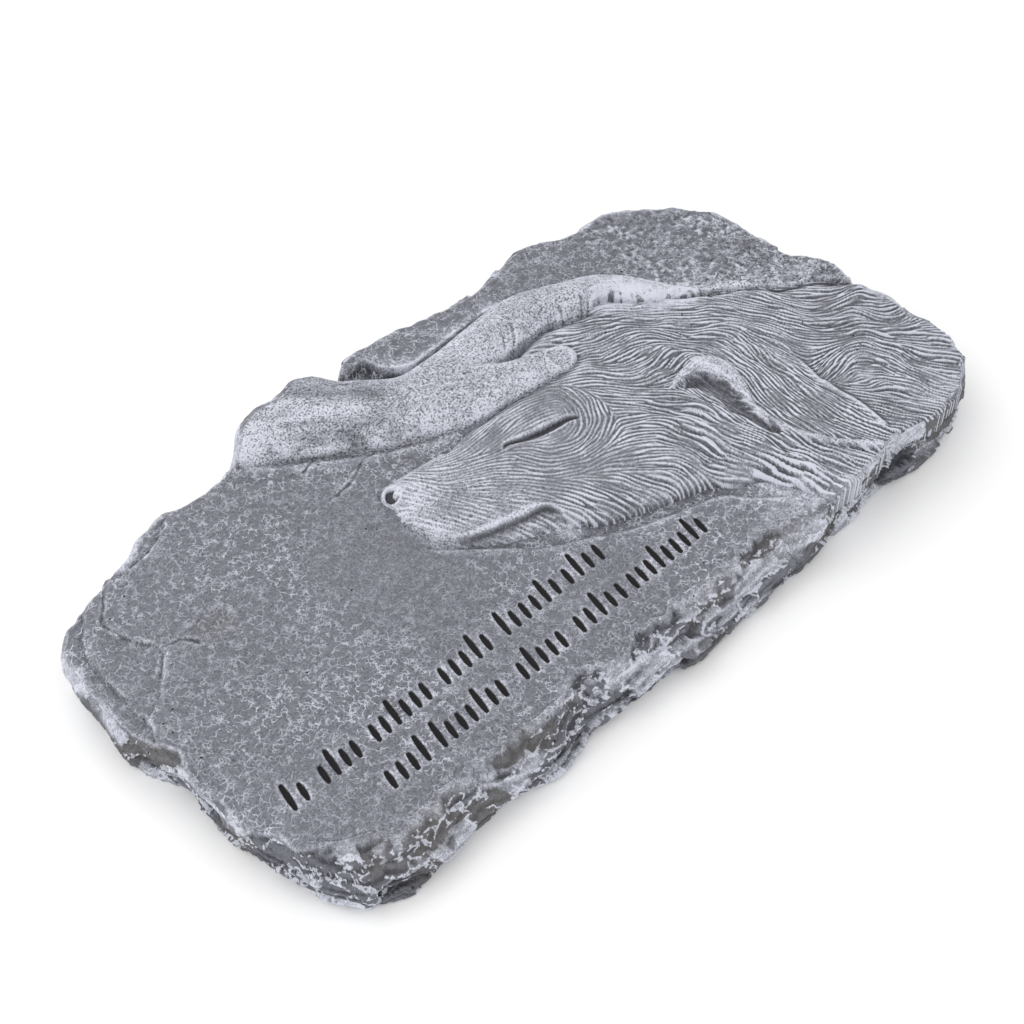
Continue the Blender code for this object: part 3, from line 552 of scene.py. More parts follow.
def stroke_marks(x, y):
    """Rows of slanted strokes in the flat, plain marks and not letters: how far each place is inside one."""
    s = stone_sizes()
    inside = np.full(x.shape, -9.0)
    for row, (left, right, words) in enumerate(STROKE_ROWS):
        for word, (start, end) in enumerate(words):
            count = max(2, int((end - start) / s.stroke_pitch))
            for k in range(count):
                share = (start + (k + 0.5) * (end - start) / count - left[0]) / (right[0] - left[0])
                foot = np.array(left) * (1 - share) + np.array(right) * share
                tall = 7.4 if (k * 5 + word * 3 + row) % 4 == 0 else 4.6
                head = foot + np.array([0.25 * tall, tall])
                near = (np.abs(x - foot[0]) < tall) & (np.abs(y - foot[1] - tall / 2) < tall)
                gap, along = distance(x[near], y[near], np.array([foot, head]))
                half = s.stroke_half_width * (0.72 + 0.28 * np.sin(math.pi * along))
                inside[near] = np.maximum(inside[near], half - gap)
    return inside


def slab_top(x, y, marks):
    """The flat of the slab, with its chips, cracks, strokes and the sunk ground along the jaw."""
    s = stone_sizes()
    ground = s.thickness + 0.00025 * noise(x, y, 34, 1) + 0.00012 * noise(x, y, 9, 2)
    ground = ground + 0.00005 * noise(x, y, 2.2, 3)
    recess = depth_in(x, y, spline(RECESS, closed=True))
    ground = ground - carving_sizes().recess_depth * ease((recess + 0.3) / 2.2)
    beside_arm, _ = distance(x, y, spline([(-56, 62), (-44, 50), (-28, 37), (-12, 28), (0, 23.5)]))
    ground = ground + 0.0007 * ridge(beside_arm, 2.4)
    return ground - chips(x, y) - 0.0003 * crack_marks(x, y) - s.stroke_depth * ease((marks + 0.15) / 0.5)


def layer_top(x, y, inner):
    """The upper layer of rock, with a broken edge, at places inner inside its outline."""
    s = stone_sizes()
    ragged = noise(x, y, 5, 21) * 0.8 + noise(x, y, 2.2, 22) * 0.4
    swell = 0.0004 * noise(x, y, 22, 23) + 0.0002 * noise(x, y, 8, 24) + 0.00012 * noise(x, y, 2.8, 25)
    swell = swell - 0.0005 * crack_marks(x, y) + 0.00026 * ease((x - 76) / 12) * noise(x, y, 1.5, 26)
    top = s.thickness + s.layer_rise - 0.0003 * ease((x - 60) / 60) + swell
    foot = s.thickness - 0.002
    steep = 1.4 - 0.7 * ease((62 - x) / 8) * ease((x - 4) / 6)
    return foot + (top - foot) * ease((inner + ragged + 0.6) / steep)


def hand_top(x, y, inner):
    """The forearm, the hand, its thumb and its bent fingers, at places inner inside the hand's outline."""
    s, v = stone_sizes(), carving_sizes()
    on_dog = ease((x + 4) / 14)
    tip = ease((x - 62) / 26)
    thumb = ease((32 - y) / 4) * ease((x - 14) / 12)
    foot = s.thickness - 0.0006 + (0.62 * v.head_rise + 0.0006) * on_dog * (1 - 0.35 * tip)
    crest = s.thickness + v.arm_rise + (v.hand_rise - v.arm_rise) * ease((x + 8) / 34) - 0.0020 * tip
    crest = crest + 0.0008 * ease((x + 60) / 20) * ease((-x - 10) / 20) - 0.0010 * thumb
    shoulder = 13.0 - 4.0 * on_dog - 3.5 * thumb
    top = foot + (crest - foot) * dome(inner / shoulder)
    for centre, radii, share in KNUCKLES:
        top = top + share * v.hand_rise * mound(x, y, centre, radii, -20)
    for gap_line in FINGER_GAPS:
        gap, along = distance(x, y, spline(gap_line))
        top = top - v.crease_depth * (1 - 0.6 * along) * ridge(gap, 1.4)
    top = top - 0.0005 * wrinkle_marks(x, y)
    top = top - 0.0005 * ease((1.15 - nail_ring(x, y)) / 0.3)
    rough = 0.00010 * noise(x + y, (y - x) * 0.3, 1.6, 31) + 0.00012 * noise(x, y, 7, 32)
    pocked = 0.00030 * tip * noise(x, y, 1.7, 33)
    top = top + rough + pocked
    return np.where(inner > 0, top, s.thickness - 0.0016 + 0.001 * np.clip(inner, -1, 0))


def wrinkle_marks(x, y):
    """The creases at the finger joints, 1 in their middle."""
    total = np.zeros(x.shape)
    for line in WRINKLES:
        gap, along = distance(x, y, spline(line))
        total = np.maximum(total, np.sin(math.pi * (0.12 + 0.76 * along)) * ridge(gap, 0.42))
    return total


def nail_ring(x, y):
    """Distance from the middle of the thumb's nail, 1 at its edge."""
    return np.hypot((x - THUMB_NAIL[0]) / 3.4, (y - THUMB_NAIL[1]) / 4.0)


def lip_gap(x, y):
    """Distance to the lip's edge, positive above it and negative in the mouth."""
    lip, _ = distance(x, y, spline(LIP))
    inside = depth_in(x, y, spline(LIP + [(-8, -25), (-22, -19), (-34, -9)], closed=True))
    return np.where(inside > 0, -lip, lip)


def eye_gap(x, y):
    """Height over the upper lid's line, how wide the slit under it is, and each place's share in the eye."""
    line = spline(EYE)
    over = (y - np.interp(x, line[:, 0], line[:, 1])) * 0.94
    wide = 0.6 + 1.0 * np.sin(math.pi * np.clip((x - 1) / 24, 0, 1))
    return over, wide, ease((x + 0.2) / 3) * ease((24.8 - x) / 2)


def face(x, y):
    """The brow, the closed eye, the cheek, the lip and the nose, as heights above the head's round."""
    v = carving_sizes()
    lip = lip_gap(x, y)
    rise = 0.00022 * ridge(lip - 0.6, 0.6) * ease((lip + 0.1) / 0.4)
    rise = rise - v.jaw_drop * ease(-lip / 0.5) * ease((-3 - x) / 4)
    fringe, wave = jaw_fringe(x, y)
    rise = rise + 0.0003 * ease((1.7 - fringe) / 1.2) * wave * (lip < -1)
    over, wide, eye = eye_gap(x, y)
    lid = v.lid_rise * mound(x, y, (15, 8.6), (10.5, 6.4), -16)
    rise = rise + lid * (1 - eye + eye * ease((over + 0.2) / 0.5))
    rise = rise + 0.0004 * mound(x, y, (13, 0.0), (10, 2.6), -14) * (over < 0)
    rise = rise - 0.4 * v.eye_depth * eye * ease((over + wide + 0.2) / 0.4) * ease((0.2 - over) / 0.4)
    rise = rise - 0.0008 * mound(x, y, (4, 14), (5, 4.5)) - 0.0005 * mound(x, y, (27, 8), (2.6, 7), -10)
    rise = rise + 0.0007 * mound(x, y, (26, -16), (18, 13), -30)
    rise = rise - 0.0005 * mound(x, y, (-8, 12), (12, 7), -10)
    rise = rise - 0.0006 * mound(x, y, (-33, 14.2), (2.6, 1.2), -35)
    ring = nose_ring(x, y)
    rise = rise + 0.0005 * ease((3.4 - ring) / 1.2) + 0.0003 * ridge(ring - 2.5, 0.4)
    return rise - 0.0014 * nostril(x, y)


def jaw_fringe(x, y):
    """Distance to the row of short hair under the mouth, and the hairs along it, from -1 to 1."""
    gap, along = distance(x, y, spline(JAW_FRINGE))
    return gap, np.sin(along * 74 + 1.2 * noise(x, y, 4, 34))


def nose_ring(x, y):
    """Distance from the middle of the nose."""
    return np.hypot(x - NOSE[0], (y - NOSE[1]) / 1.15)


def nostril(x, y):
    """The comma of the nostril, 1 inside it."""
    hole = np.hypot((x - NOSE[0] + 0.3) / 1.6, (y - NOSE[1]) / 2.1)
    bead = np.hypot(x - NOSE[0] - 0.8, y - NOSE[1] + 0.9)
    return ease((1.15 - hole) / 0.3) * ease((bead - 0.8) / 0.4)


def ear(x, y):
    """The ear's height, how bare of fur it is, its front fold, hollow and back edge, the groove behind."""
    v = carving_sizes()
    band = depth_in(x, y, spline(EAR_BAND, closed=True, step=2))
    hollow = depth_in(x, y, spline(EAR_HOLLOW, closed=True, step=2))
    flap = depth_in(x, y, spline(EAR_FLAP, closed=True, step=2))
    back, _ = distance(x, y, spline(EAR_BACK))
    rise = v.ear_rise * dome((band + 0.5) / 2.6) * ease((band + 0.5) / 0.4)
    rise = rise + v.ear_rise * ease((flap + 1) / 3) * (0.45 - 0.25 * ease((flap - 3) / 6))
    rise = rise + 0.4 * v.ear_rise * ridge(back, 0.7) * ease((-26 - y) / 8)
    rise = rise - v.hollow_depth * ease((hollow + 0.6) / 2.0)
    rise = rise - 0.0009 * mound(x, y, (56.5, -49.5), (1.6, 3), 20)
    deep = ease((hollow + 0.6) / 1.2)
    bare = np.maximum(deep, ease((band + 0.5) / 0.8))
    thin = ease((-27 - y) / 5)
    crest = thin * np.exp(-(back / (0.55 + 0.7 * mound(x, y, (84.4, -39), (3, 4)))) ** 2)
    groove = thin * ridge(back - 1.4, 0.7) * (flap < 0)
    return rise, np.clip(bare + 0.35 * ease(flap / 2), 0, 1), band, deep, crest, groove


def fur_length(x, y):
    """How long the fur is, from 0 on the muzzle to 1 on the neck."""
    return np.maximum(ease((x - 22 - 0.35 * y) / 26), ease((-15 - y - 0.3 * x) / 9))


def dog_top(x, y, inner, hand_inner, layer_inner, strands, bundles, bold):
    """The head, the ear and the neck fur of the sleeping dog, creased along the hand and the rock over it."""
    s, v = stone_sizes(), carving_sizes()
    neck = ease((x - 34) / 40)
    rise = v.head_rise * (1 - neck) + v.neck_rise * neck - 0.0014 * ease((x - 84) / 44)
    top = s.thickness - 0.0008 + (rise + 0.0008) * dome(inner / (13 - 6 * neck))
    ear_rise, bare = ear(x, y)[:2]
    top = top + face(x, y) + ear_rise
    for over in (hand_inner, layer_inner):
        top = top - v.crease_depth * ridge(np.clip(-over, 0, None), 2.2)
    furry = fur_length(x, y)
    cover = (1 - 0.85 * bare) * ease((inner + 0.5) / 2)
    top = top + cover * v.lock_rise * furry * (bundles + 0.35) * (1 + 0.5 * bold)
    top = top + cover * v.strand_rise * (0.22 + 0.78 * furry) * strands * (1 + 0.9 * bold)
    return np.where(inner > 0, top, s.thickness - 0.0016 + 0.001 * np.clip(inner, -1, 0))


def surfaces(x, y, cell=None):
    """Every carved surface at the places, and the depths in the outlines. A cell size asks for the fur."""
    at = {"gap": depth_in(x, y, RIM)}
    at["hand_in"] = depth_in(x, y, spline(HAND, closed=True))
    at["layer_in"] = depth_in(x, y, spline(LAYER, closed=True, step=3))
    at["dog_in"] = depth_in(x, y, spline(DOG, closed=True, step=2))
    at["marks"] = stroke_marks(x, y)
    at["strands"], at["bundles"], at["bold"] = fur(x, y, cell) if cell else [np.zeros(x.shape)] * 3
    at["slab"] = slab_top(x, y, at["marks"])
    at["layer"] = np.where(at["layer_in"] > -3, layer_top(x, y, at["layer_in"]), 0)
    at["dog"] = dog_top(x, y, at["dog_in"], at["hand_in"], at["layer_in"], at["strands"], at["bundles"],
                        at["bold"])
    at["hand"] = hand_top(x, y, at["hand_in"])
    at["whole"] = np.maximum(np.maximum(at["slab"], at["layer"]), np.maximum(at["dog"], at["hand"]))
    at["edge"] = edge_line(x, y)
    at["seam"] = seam_line(at)
    return at


RIM = np.concatenate([spline(side)[:-1] for side in (FRONT_RIM, RIGHT_RIM, BACK_RIM, LEFT_RIM)])
RELIEF_SINK = 0.0040


def to_metres(x, y):
    """Drawn units to metres."""
    s = stone_sizes()
    return ((x - DRAWN_MIDDLE[0]) * s.length / DRAWN_LENGTH, (y - DRAWN_MIDDLE[1]) * s.width / DRAWN_WIDTH)


def patches(x, y, spots):
    """How strongly the ragged spots cover each place."""
    total = np.zeros(x.shape)
    ragged = 1 + 0.5 * noise(x, y, 3.1, 91) + 0.3 * noise(x, y, 1.2, 92)
    for centre, radii, *rest in spots:
        turn = rest[0] if len(rest) > 1 else 0.0
        cover = np.clip(1.4 * mound(x, y, centre, radii, turn) * ragged - 0.15, 0, 1)
        total = np.maximum(total, rest[-1] * cover)
    return total


def finish_marks(at, x, y, cell, height, inner, crinkle, speckle, veil):
    """Where the brush left pale paint, where the dark wash stayed, and painted shade in the creases
    where the pieces meet, from the shape of the surface.
    """
    own = ease((inner - 0.2) / 2.0)
    patchy = np.clip(0.75 + 0.9 * noise(x, y, 5, 93) + 0.4 * noise(x, y, 1.9, 94), 0.1, 1.4)
    fine = (height - blur(height, 0.6 / cell)) / 0.00013 * own
    broad = (height - blur(height, 2.2 / cell)) / 0.0008 * own
    # under: how far each place lies below the whole stone around it; low paints shade there, in the creases
    under = (at["whole"] - blur(at["whole"], 1.6 / cell)) / 0.0008
    even = np.ones(x.shape)
    calm = 1 - patches_soft(x, y, SMOOTH_SPOTS)
    return {"crest": np.clip(fine, 0, 1.1) * patchy, "sunk": np.clip(-fine, 0, 1),
            "high": np.clip(broad, 0, 0.8) * patchy, "low": np.clip(-under, 0, 1),
            "dust": patches(x, y, PALE_PATCHES), "stain": patches(x, y, STAINS),
            "crinkle": crinkle * calm, "speckle": speckle * even, "veil": veil * even, "paint": -9.0 * even,
            "split": 9.0 * even, "hair": 0.0 * even, "coat": 0.0 * even}


# Meshes.

def start_clear():
    """Leaves edit mode and selects nothing."""
    if bpy.context.object and bpy.context.object.mode != "OBJECT":
        bpy.ops.object.mode_set(mode="OBJECT")
    bpy.ops.object.select_all(action="DESELECT")


def new_grid(name, across, along):
    """A flat grid of square cells, named and at the origin."""
    start_clear()
    bpy.ops.mesh.primitive_grid_add(x_subdivisions=across, y_subdivisions=along, size=1.0, location=(0, 0, 0))
    piece = bpy.context.object
    piece.name = piece.data.name = name
    return piece


def set_places(mesh, x, y, z):
    mx, my = to_metres(x, y)
    mesh.vertices.foreach_set("co", np.stack([mx, my, z], -1).astype(np.float32).ravel())
    mesh.update()


def add_marks(mesh, marks):
    """Keeps each mark as an attribute of the mesh's vertices."""
    for name, values in marks.items():
        mark = mesh.attributes.new(name, "FLOAT", "POINT")
        mark.data.foreach_set("value", values.astype(np.float32).ravel())


def clean_mask(keep):
    """Drops specks and cells that touch only at a corner, so that the border is one plain loop."""
    for _ in range(6):
        sides = np.zeros(keep.shape, int)
        sides[1:] += keep[:-1]
        sides[:-1] += keep[1:]
        sides[:, 1:] += keep[:, :-1]
        sides[:, :-1] += keep[:, 1:]
        keep = keep & (sides >= 2)
        a, b, c, d = keep[:-1, :-1], keep[:-1, 1:], keep[1:, :-1], keep[1:, 1:]
        crossed = (a & d & ~b & ~c) | (b & c & ~a & ~d)
        for rows in (slice(None, -1), slice(1, None)):
            for columns in (slice(None, -1), slice(1, None)):
                keep[rows, columns] &= ~crossed
    return largest_part(keep)


def largest_part(keep):
    """The largest connected part of a mask."""
    label = np.where(keep, np.arange(1, keep.size + 1).reshape(keep.shape), 0)
    while True:
        spread = label.copy()
        for axis in (0, 1):
            for way in (1, -1):
                moved = np.roll(spread, way, axis)
                spread = np.where(keep, np.maximum(spread, moved), 0)
                for _ in range(5):
                    spread = np.where(keep, np.maximum(spread, np.roll(spread, way, axis)), 0)
        if (spread == label).all():
            break
        label = spread
    values, counts = np.unique(label[label > 0], return_counts=True)
    return label == values[counts.argmax()]


def close_below(piece, base):
    """Draws the border of an open relief down to a level and closes it with one face."""
    bpy.context.view_layer.objects.active = piece
    bpy.ops.object.mode_set(mode="EDIT")
    bpy.ops.mesh.select_all(action="DESELECT")
    bpy.ops.mesh.select_mode(type="EDGE")
    bpy.ops.mesh.select_non_manifold()
    bpy.ops.mesh.extrude_edges_move(TRANSFORM_OT_translate={"value": (0, 0, -0.001)})
    bpy.ops.object.mode_set(mode="OBJECT")
    mesh = piece.data
    chosen = np.zeros(len(mesh.vertices), bool)
    mesh.vertices.foreach_get("select", chosen)
    co = np.zeros(len(mesh.vertices) * 3, np.float32)
    mesh.vertices.foreach_get("co", co)
    co = co.reshape(-1, 3)
    co[chosen, 2] = base
    mesh.vertices.foreach_set("co", co.ravel())
    bpy.ops.object.mode_set(mode="EDIT")
    bpy.ops.mesh.edge_face_add()
    bpy.ops.mesh.select_all(action="SELECT")
    bpy.ops.mesh.normals_make_consistent(inside=False)
    bpy.ops.mesh.select_all(action="DESELECT")
    bpy.ops.object.mode_set(mode="OBJECT")
    open_edges = boundary_count(piece)
    if open_edges:
        raise RuntimeError(f"{piece.name} has {open_edges} open edges")


def boundary_count(piece):
    """How many edges of the piece don't have just two faces."""
    mesh = piece.data
    edges = np.zeros(len(mesh.loops), int)
    mesh.loops.foreach_get("edge_index", edges)
    return int((np.bincount(edges, minlength=len(mesh.edges)) != 2).sum())


def relief(name, height, keep, marks, x, y):
    """A carved relief on a square grid, kept where keep is above 0, its border sunk and closed below."""
    rows, columns = x.shape
    piece = new_grid(name, columns - 1, rows - 1)
    set_places(piece.data, x, y, height)
    add_marks(piece.data, marks)
    inside = keep > 0
    whole_cells = inside[:-1, :-1] & inside[1:, :-1] & inside[:-1, 1:] & inside[1:, 1:]
    whole_cells = clean_mask(whole_cells)
    piece.data.polygons.foreach_set("select", ~whole_cells.ravel())
    piece.data.update()
    bpy.ops.object.mode_set(mode="EDIT")
    bpy.ops.mesh.select_mode(type="FACE")
    bpy.ops.object.mode_set(mode="OBJECT")
    piece.data.polygons.foreach_set("select", ~whole_cells.ravel())
    bpy.ops.object.mode_set(mode="EDIT")
    bpy.ops.mesh.delete(type="FACE")
    bpy.ops.object.mode_set(mode="OBJECT")
    close_below(piece, stone_sizes().thickness - RELIEF_SINK)
    return piece


def square_grid(box, cell):
    """Places on a square grid over a box."""
    columns = int(round((box[1] - box[0]) / cell)) + 1
    rows = int(round((box[3] - box[2]) / cell)) + 1
    return np.meshgrid(box[0] + cell * np.arange(columns), box[2] + cell * np.arange(rows))


def dress(piece):
    """Smooth shading, the stone's finish, and the piece's place in the table."""
    piece.data.materials.clear()
    piece.data.materials.append(stone_finish())
    piece.data.shade_smooth()
    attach(piece, "root")
    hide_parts("memorial_stone")


def under_rim(at):
    """How far a relief dips under the rim piece past its seam."""
    return 0.0012 * ease((at["seam"] - at["gap"]) / 0.9)


# Finishes.

class Nodes:
    """A short way to write a material's nodes."""

    def __init__(self, name):
        self.material = bpy.data.materials.new(name)
        self.material.use_nodes = True
        self.tree = self.material.node_tree
        self.shader = self.tree.nodes["Principled BSDF"]
        self.place = self.tree.nodes.new("ShaderNodeTexCoord").outputs["Object"]

    def link(self, value, socket):
        if isinstance(value, (int, float)):
            socket.default_value = value
        elif isinstance(value, tuple):
            socket.default_value = (*value[:3], 1.0)
        else:
            self.tree.links.new(value, socket)

    def mark(self, name):
        node = self.tree.nodes.new("ShaderNodeAttribute")
        node.attribute_name = name
        return node.outputs["Fac"]

    def noise(self, scale, detail=2.0, roughness=0.5, distortion=0.0):
        node = self.tree.nodes.new("ShaderNodeTexNoise")
        self.tree.links.new(self.place, node.inputs["Vector"])
        node.inputs["Scale"].default_value = scale
        node.inputs["Detail"].default_value = detail
        node.inputs["Roughness"].default_value = roughness
        node.inputs["Distortion"].default_value = distortion
        return node.outputs["Fac"]

    def wandered(self, scale, reach):
        """The place, moved about by soft noise."""
        soft = self.tree.nodes.new("ShaderNodeTexNoise")
        self.tree.links.new(self.place, soft.inputs["Vector"])
        soft.inputs["Scale"].default_value = scale
        moved = self.tree.nodes.new("ShaderNodeVectorMath")
        moved.operation = "MULTIPLY_ADD"
        self.tree.links.new(soft.outputs["Color"], moved.inputs[0])
        moved.inputs[1].default_value = (reach, reach, reach)
        self.tree.links.new(self.place, moved.inputs[2])
        return moved.outputs["Vector"]

    def cell_edges(self, scale, place):
        node = self.tree.nodes.new("ShaderNodeTexVoronoi")
        node.feature = "DISTANCE_TO_EDGE"
        self.tree.links.new(place, node.inputs["Vector"])
        node.inputs["Scale"].default_value = scale
        return node.outputs["Distance"]

    def spots(self, scale):
        node = self.tree.nodes.new("ShaderNodeTexVoronoi")
        self.tree.links.new(self.place, node.inputs["Vector"])
        node.inputs["Scale"].default_value = scale
        return node.outputs["Distance"]

    def math(self, kind, a, b, clamp=False):
        node = self.tree.nodes.new("ShaderNodeMath")
        node.operation = kind
        node.use_clamp = clamp
        self.link(a, node.inputs[0])
        self.link(b, node.inputs[1])
        return node.outputs[0]

    def add(self, a, b, clamp=False):
        return self.math("ADD", a, b, clamp)

    def times(self, a, b):
        return self.math("MULTIPLY", a, b)

    def spread(self, value, low, high, to_low=0.0, to_high=1.0):
        node = self.tree.nodes.new("ShaderNodeMapRange")
        self.link(value, node.inputs["Value"])
        for name, number in (("From Min", low), ("From Max", high), ("To Min", to_low), ("To Max", to_high)):
            node.inputs[name].default_value = number
        return node.outputs["Result"]

    def mix(self, share, a, b):
        node = self.tree.nodes.new("ShaderNodeMix")
        node.data_type = "RGBA"
        self.link(share, node.inputs["Factor"])
        self.link(a, node.inputs[6])
        self.link(b, node.inputs[7])
        return node.outputs[2]

    def bump(self, height, strength, depth):
        node = self.tree.nodes.new("ShaderNodeBump")
        node.inputs["Strength"].default_value = strength
        node.inputs["Distance"].default_value = depth
        self.link(height, node.inputs["Height"])
        self.link(node.outputs["Normal"], self.shader.inputs["Normal"])


def crinkled_lines(n):
    """Thin pale lines that wander over the flat like crumpled threads."""
    wander = n.wandered(500, 0.0024)
    worms = n.times(n.spread(n.cell_edges(390, wander), 0.020, 0.065, 1.0, 0.0),
                    n.spread(n.noise(430, 1.0, 0.5), 0.47, 0.54))
    threads = n.times(n.spread(n.cell_edges(700, wander), 0.03, 0.10, 0.75, 0.0),
                      n.spread(n.noise(330, 1.0, 0.5), 0.51, 0.58))
    area = n.spread(n.noise(26, 2.0, 0.6), 0.36, 0.62, 0.45, 1.2)
    return n.times(n.math("MAXIMUM", worms, threads), n.times(n.mark("crinkle"), area))


def pale_brush_and_highlights(n, fine, coarse, lines, dim, coat, hair):
    """How much pale paint the brush left, with the hand's painted highlights and shade."""
    brushed = n.add(n.times(n.mark("crest"), 0.80), n.times(n.mark("high"), 0.35))
    brushed = n.add(brushed, n.add(n.mark("dust"), n.mark("veil")))
    brushed = n.times(brushed, n.spread(fine, 0.34, 0.62, 0.35, 1.25))
    brushed = n.times(brushed, n.spread(coarse, 0.38, 0.60, 0.72, 1.12))
    brushed = n.times(brushed, n.math("SUBTRACT", 1.0, n.times(dim, 0.85)))
    brushed = n.add(brushed, n.times(lines, 0.68))
    brushed = n.add(brushed, n.times(n.times(coat, n.spread(hair, 0.12, 0.50)), 1.05))
    split = n.add(n.mark("split"), n.spread(coarse, 0.3, 0.7, -0.30, 0.30))
    edges = n.times(n.spread(split, 0.20, 0.42, 0.9, 0.0), n.spread(fine, 0.35, 0.55, 0.6, 1.0))
    fleck = n.times(n.spread(coarse, 0.45, 0.62), n.spread(fine, 0.46, 0.66))
    return n.add(n.add(brushed, edges), n.times(fleck, n.times(n.mark("speckle"), 0.35)), clamp=True)


def wash_and_painted_shade(n, dim, coat, hair):
    """How much dark wash stayed in the hollows, with the painted shade in creases and shaded places."""
    wash_and_shade = n.add(n.times(n.mark("sunk"), 0.65), n.times(n.mark("low"), 0.6))
    wash_and_shade = n.add(wash_and_shade, n.times(n.times(coat, n.spread(hair, -0.05, -0.42)), 0.85))
    return n.add(wash_and_shade, n.times(dim, 0.8), clamp=True)


def stone_finish():
    """Grey cast stone, dry-brushed with pale paint over a dark wash, with painted shade and highlights, made
    once.
    """
    made = bpy.data.materials.get("dry_brushed_stone_painted_light")
    if made:
        return made
    colours = bpy.context.scene.stone_colours
    n = Nodes("dry_brushed_stone_painted_light")
    fine = n.noise(2600, 3.0, 0.7)
    coarse = n.noise(900, 2.0, 0.6)
    grain = n.spread(fine, 0.3, 0.7, -0.14, 0.14)
    lines = crinkled_lines(n)
    dim = n.times(n.spread(n.noise(1700, 2.0, 0.6), 0.50, 0.40), n.mark("speckle"))
    hair = n.add(n.mark("hair"), grain)
    coat = n.times(n.mark("coat"), n.spread(coarse, 0.36, 0.60, 0.80, 1.15))
    brushed = pale_brush_and_highlights(n, fine, coarse, lines, dim, coat, hair)
    shade = n.spread(n.noise(34, 2.0, 0.55), 0.35, 0.65, 0.12, 0.0)
    wash_and_shade = n.add(wash_and_painted_shade(n, dim, coat, hair), shade, clamp=True)
    pits = n.times(n.spread(n.spots(230), 0.05, 0.10, 1.0, 0.0), n.spread(n.noise(60, 0.0), 0.56, 0.60))
    colour = n.mix(wash_and_shade, tuple(colours.ground), tuple(colours.deep))
    colour = n.mix(n.times(n.mark("stain"), 0.75), colour, tuple(colours.stain))
    colour = n.mix(n.times(brushed, 0.94), colour, tuple(colours.pale))
    colour = n.mix(pits, colour, tuple(colours.stroke))
    colour = n.mix(n.spread(n.add(n.mark("paint"), grain), -0.12, 0.12), colour, tuple(colours.stroke))
    n.link(colour, n.shader.inputs["Base Color"])
    n.shader.inputs["Roughness"].default_value = 0.82
    n.shader.inputs["Specular IOR Level"].default_value = 0.25
    n.bump(n.add(n.add(n.times(fine, 0.9), n.times(lines, 1.2)), n.times(coarse, 0.7)), 0.6, 0.00025)
    return n.material


# Pieces.

def rim_frame(fine_step, plain_step):
    """Places round the rim, closer at the front and left, with the inward direction at each."""
    closed = np.concatenate([RIM, RIM[:1]])
    run = np.concatenate([[0], np.cumsum(np.hypot(*np.diff(closed, axis=0).T))])
    step = 0.3
    count = int(run[-1] / step)
    at = np.arange(count) * run[-1] / count
    rim = np.stack([np.interp(at, run, closed[:, 0]), np.interp(at, run, closed[:, 1])], 1)
    reach = int(7 / step)
    window = range(-2 * reach, 2 * reach + 1)
    weights = np.exp(-0.5 * (np.array(window) / reach) ** 2)
    weights /= weights.sum()
    soft = sum(w * np.roll(rim, k, 0) for k, w in zip(window, weights))
    tangent = np.roll(soft, -reach, 0) - np.roll(soft, reach, 0)
    inward = np.stack([-tangent[:, 1], tangent[:, 0]], 1)
    inward /= np.linalg.norm(inward, axis=1)[:, None]
    seen = np.maximum(ease((-40 - rim[:, 1]) / 10), ease((-100 - rim[:, 0]) / 10))
    steps = np.cumsum(step / (plain_step + (fine_step - plain_step) * seen))
    picked = np.searchsorted(steps, np.arange(int(steps[-1])))
    return rim[picked], inward[picked], at[picked]


def side_offset(share, run):
    """How far the side face stands in from the rim at a share of its height, in drawn millimetres."""
    s = stone_sizes()
    bed = 1.6 * noise(run, share * 44, 12, 41) + 0.8 * noise(run, share * 60, 4.5, 42)
    ledge = s.ledge_depth * (np.floor(2 * bed) + ease((2 * bed % 1) * 4)) / 2
    inset = np.clip(s.ledge_depth + ledge, 0.0, None) * ease((1 - share) * 5)
    return (inset + s.foot_inset * (1 - share) ** 4) * DRAWN_LENGTH / s.length


def rim_drop(at, x, y):
    """How far the rim piece's top falls past the ragged line: sheets of rock that break off in steps."""
    s = stone_sizes()
    front, left = edge_zones(x, y)
    out = np.clip(1 - at["gap"] / np.maximum(at["edge"], 0.5), 0, 1)
    ragged = 0.14 * crag(x, y, 9, 14) + 0.03 * crag(x, y, 3, 15)
    sheets = 3.3 + 0.8 * noise(x, y, 16, 18)
    steps = np.clip(out + ragged * ease(out * 4) * (1 - out), 0, 1) * sheets
    stairs = (np.floor(steps) + ease((steps % 1) * 2.4)) / sheets
    stepped = 0.35 * out + 0.65 * np.clip(stairs, 0, 1)
    drop = front * (0.0010 * ease(out * 9) + (s.front_drop - 0.0010) * stepped)
    rounded = 1 - dome(1 - out)
    drop = drop + left * (0.0007 * ease(out * 4) + (s.left_drop - 0.0007) * rounded)
    return drop + (1 - front - left) * (0.0003 * ease(out * 4) + (s.rim_drop - 0.0003) * rounded)


BAND = 14.0


def broken_facets(mm, run, slope):
    """Large and small broken facets over the ring's grid: height, distance to the border, and tone."""
    shape = slope.shape
    turn = np.broadcast_to((run / (run[-1] + 0.3))[:, None], shape)
    warp = [noise(mm[..., 0], mm[..., 1] + 1.3 * mm[..., 2], 4.5, k) for k in (51, 52)]
    fine_warp = [noise(mm[..., 0], mm[..., 1] + 1.3 * mm[..., 2], 1.8, k) for k in (53, 54)]
    for around, tall, seed in ((48, 5.5, 61), (128, 2.5, 62)):
        q = np.stack([turn * around + (1.6 * warp[0] + 0.5 * fine_warp[0]) * around / 770,
                      (slope + 0.9 * warp[1] + 0.3 * fine_warp[1]) / tall, np.full(shape, 0.5)], -1)
        height, number, depth = facets(q.reshape(-1, 3), seed)
        tone = np.random.default_rng(seed + 10).uniform(0, 1, 4096)[number]
        yield height.reshape(shape), border_distance(depth.reshape(shape), mm), tone.reshape(shape)


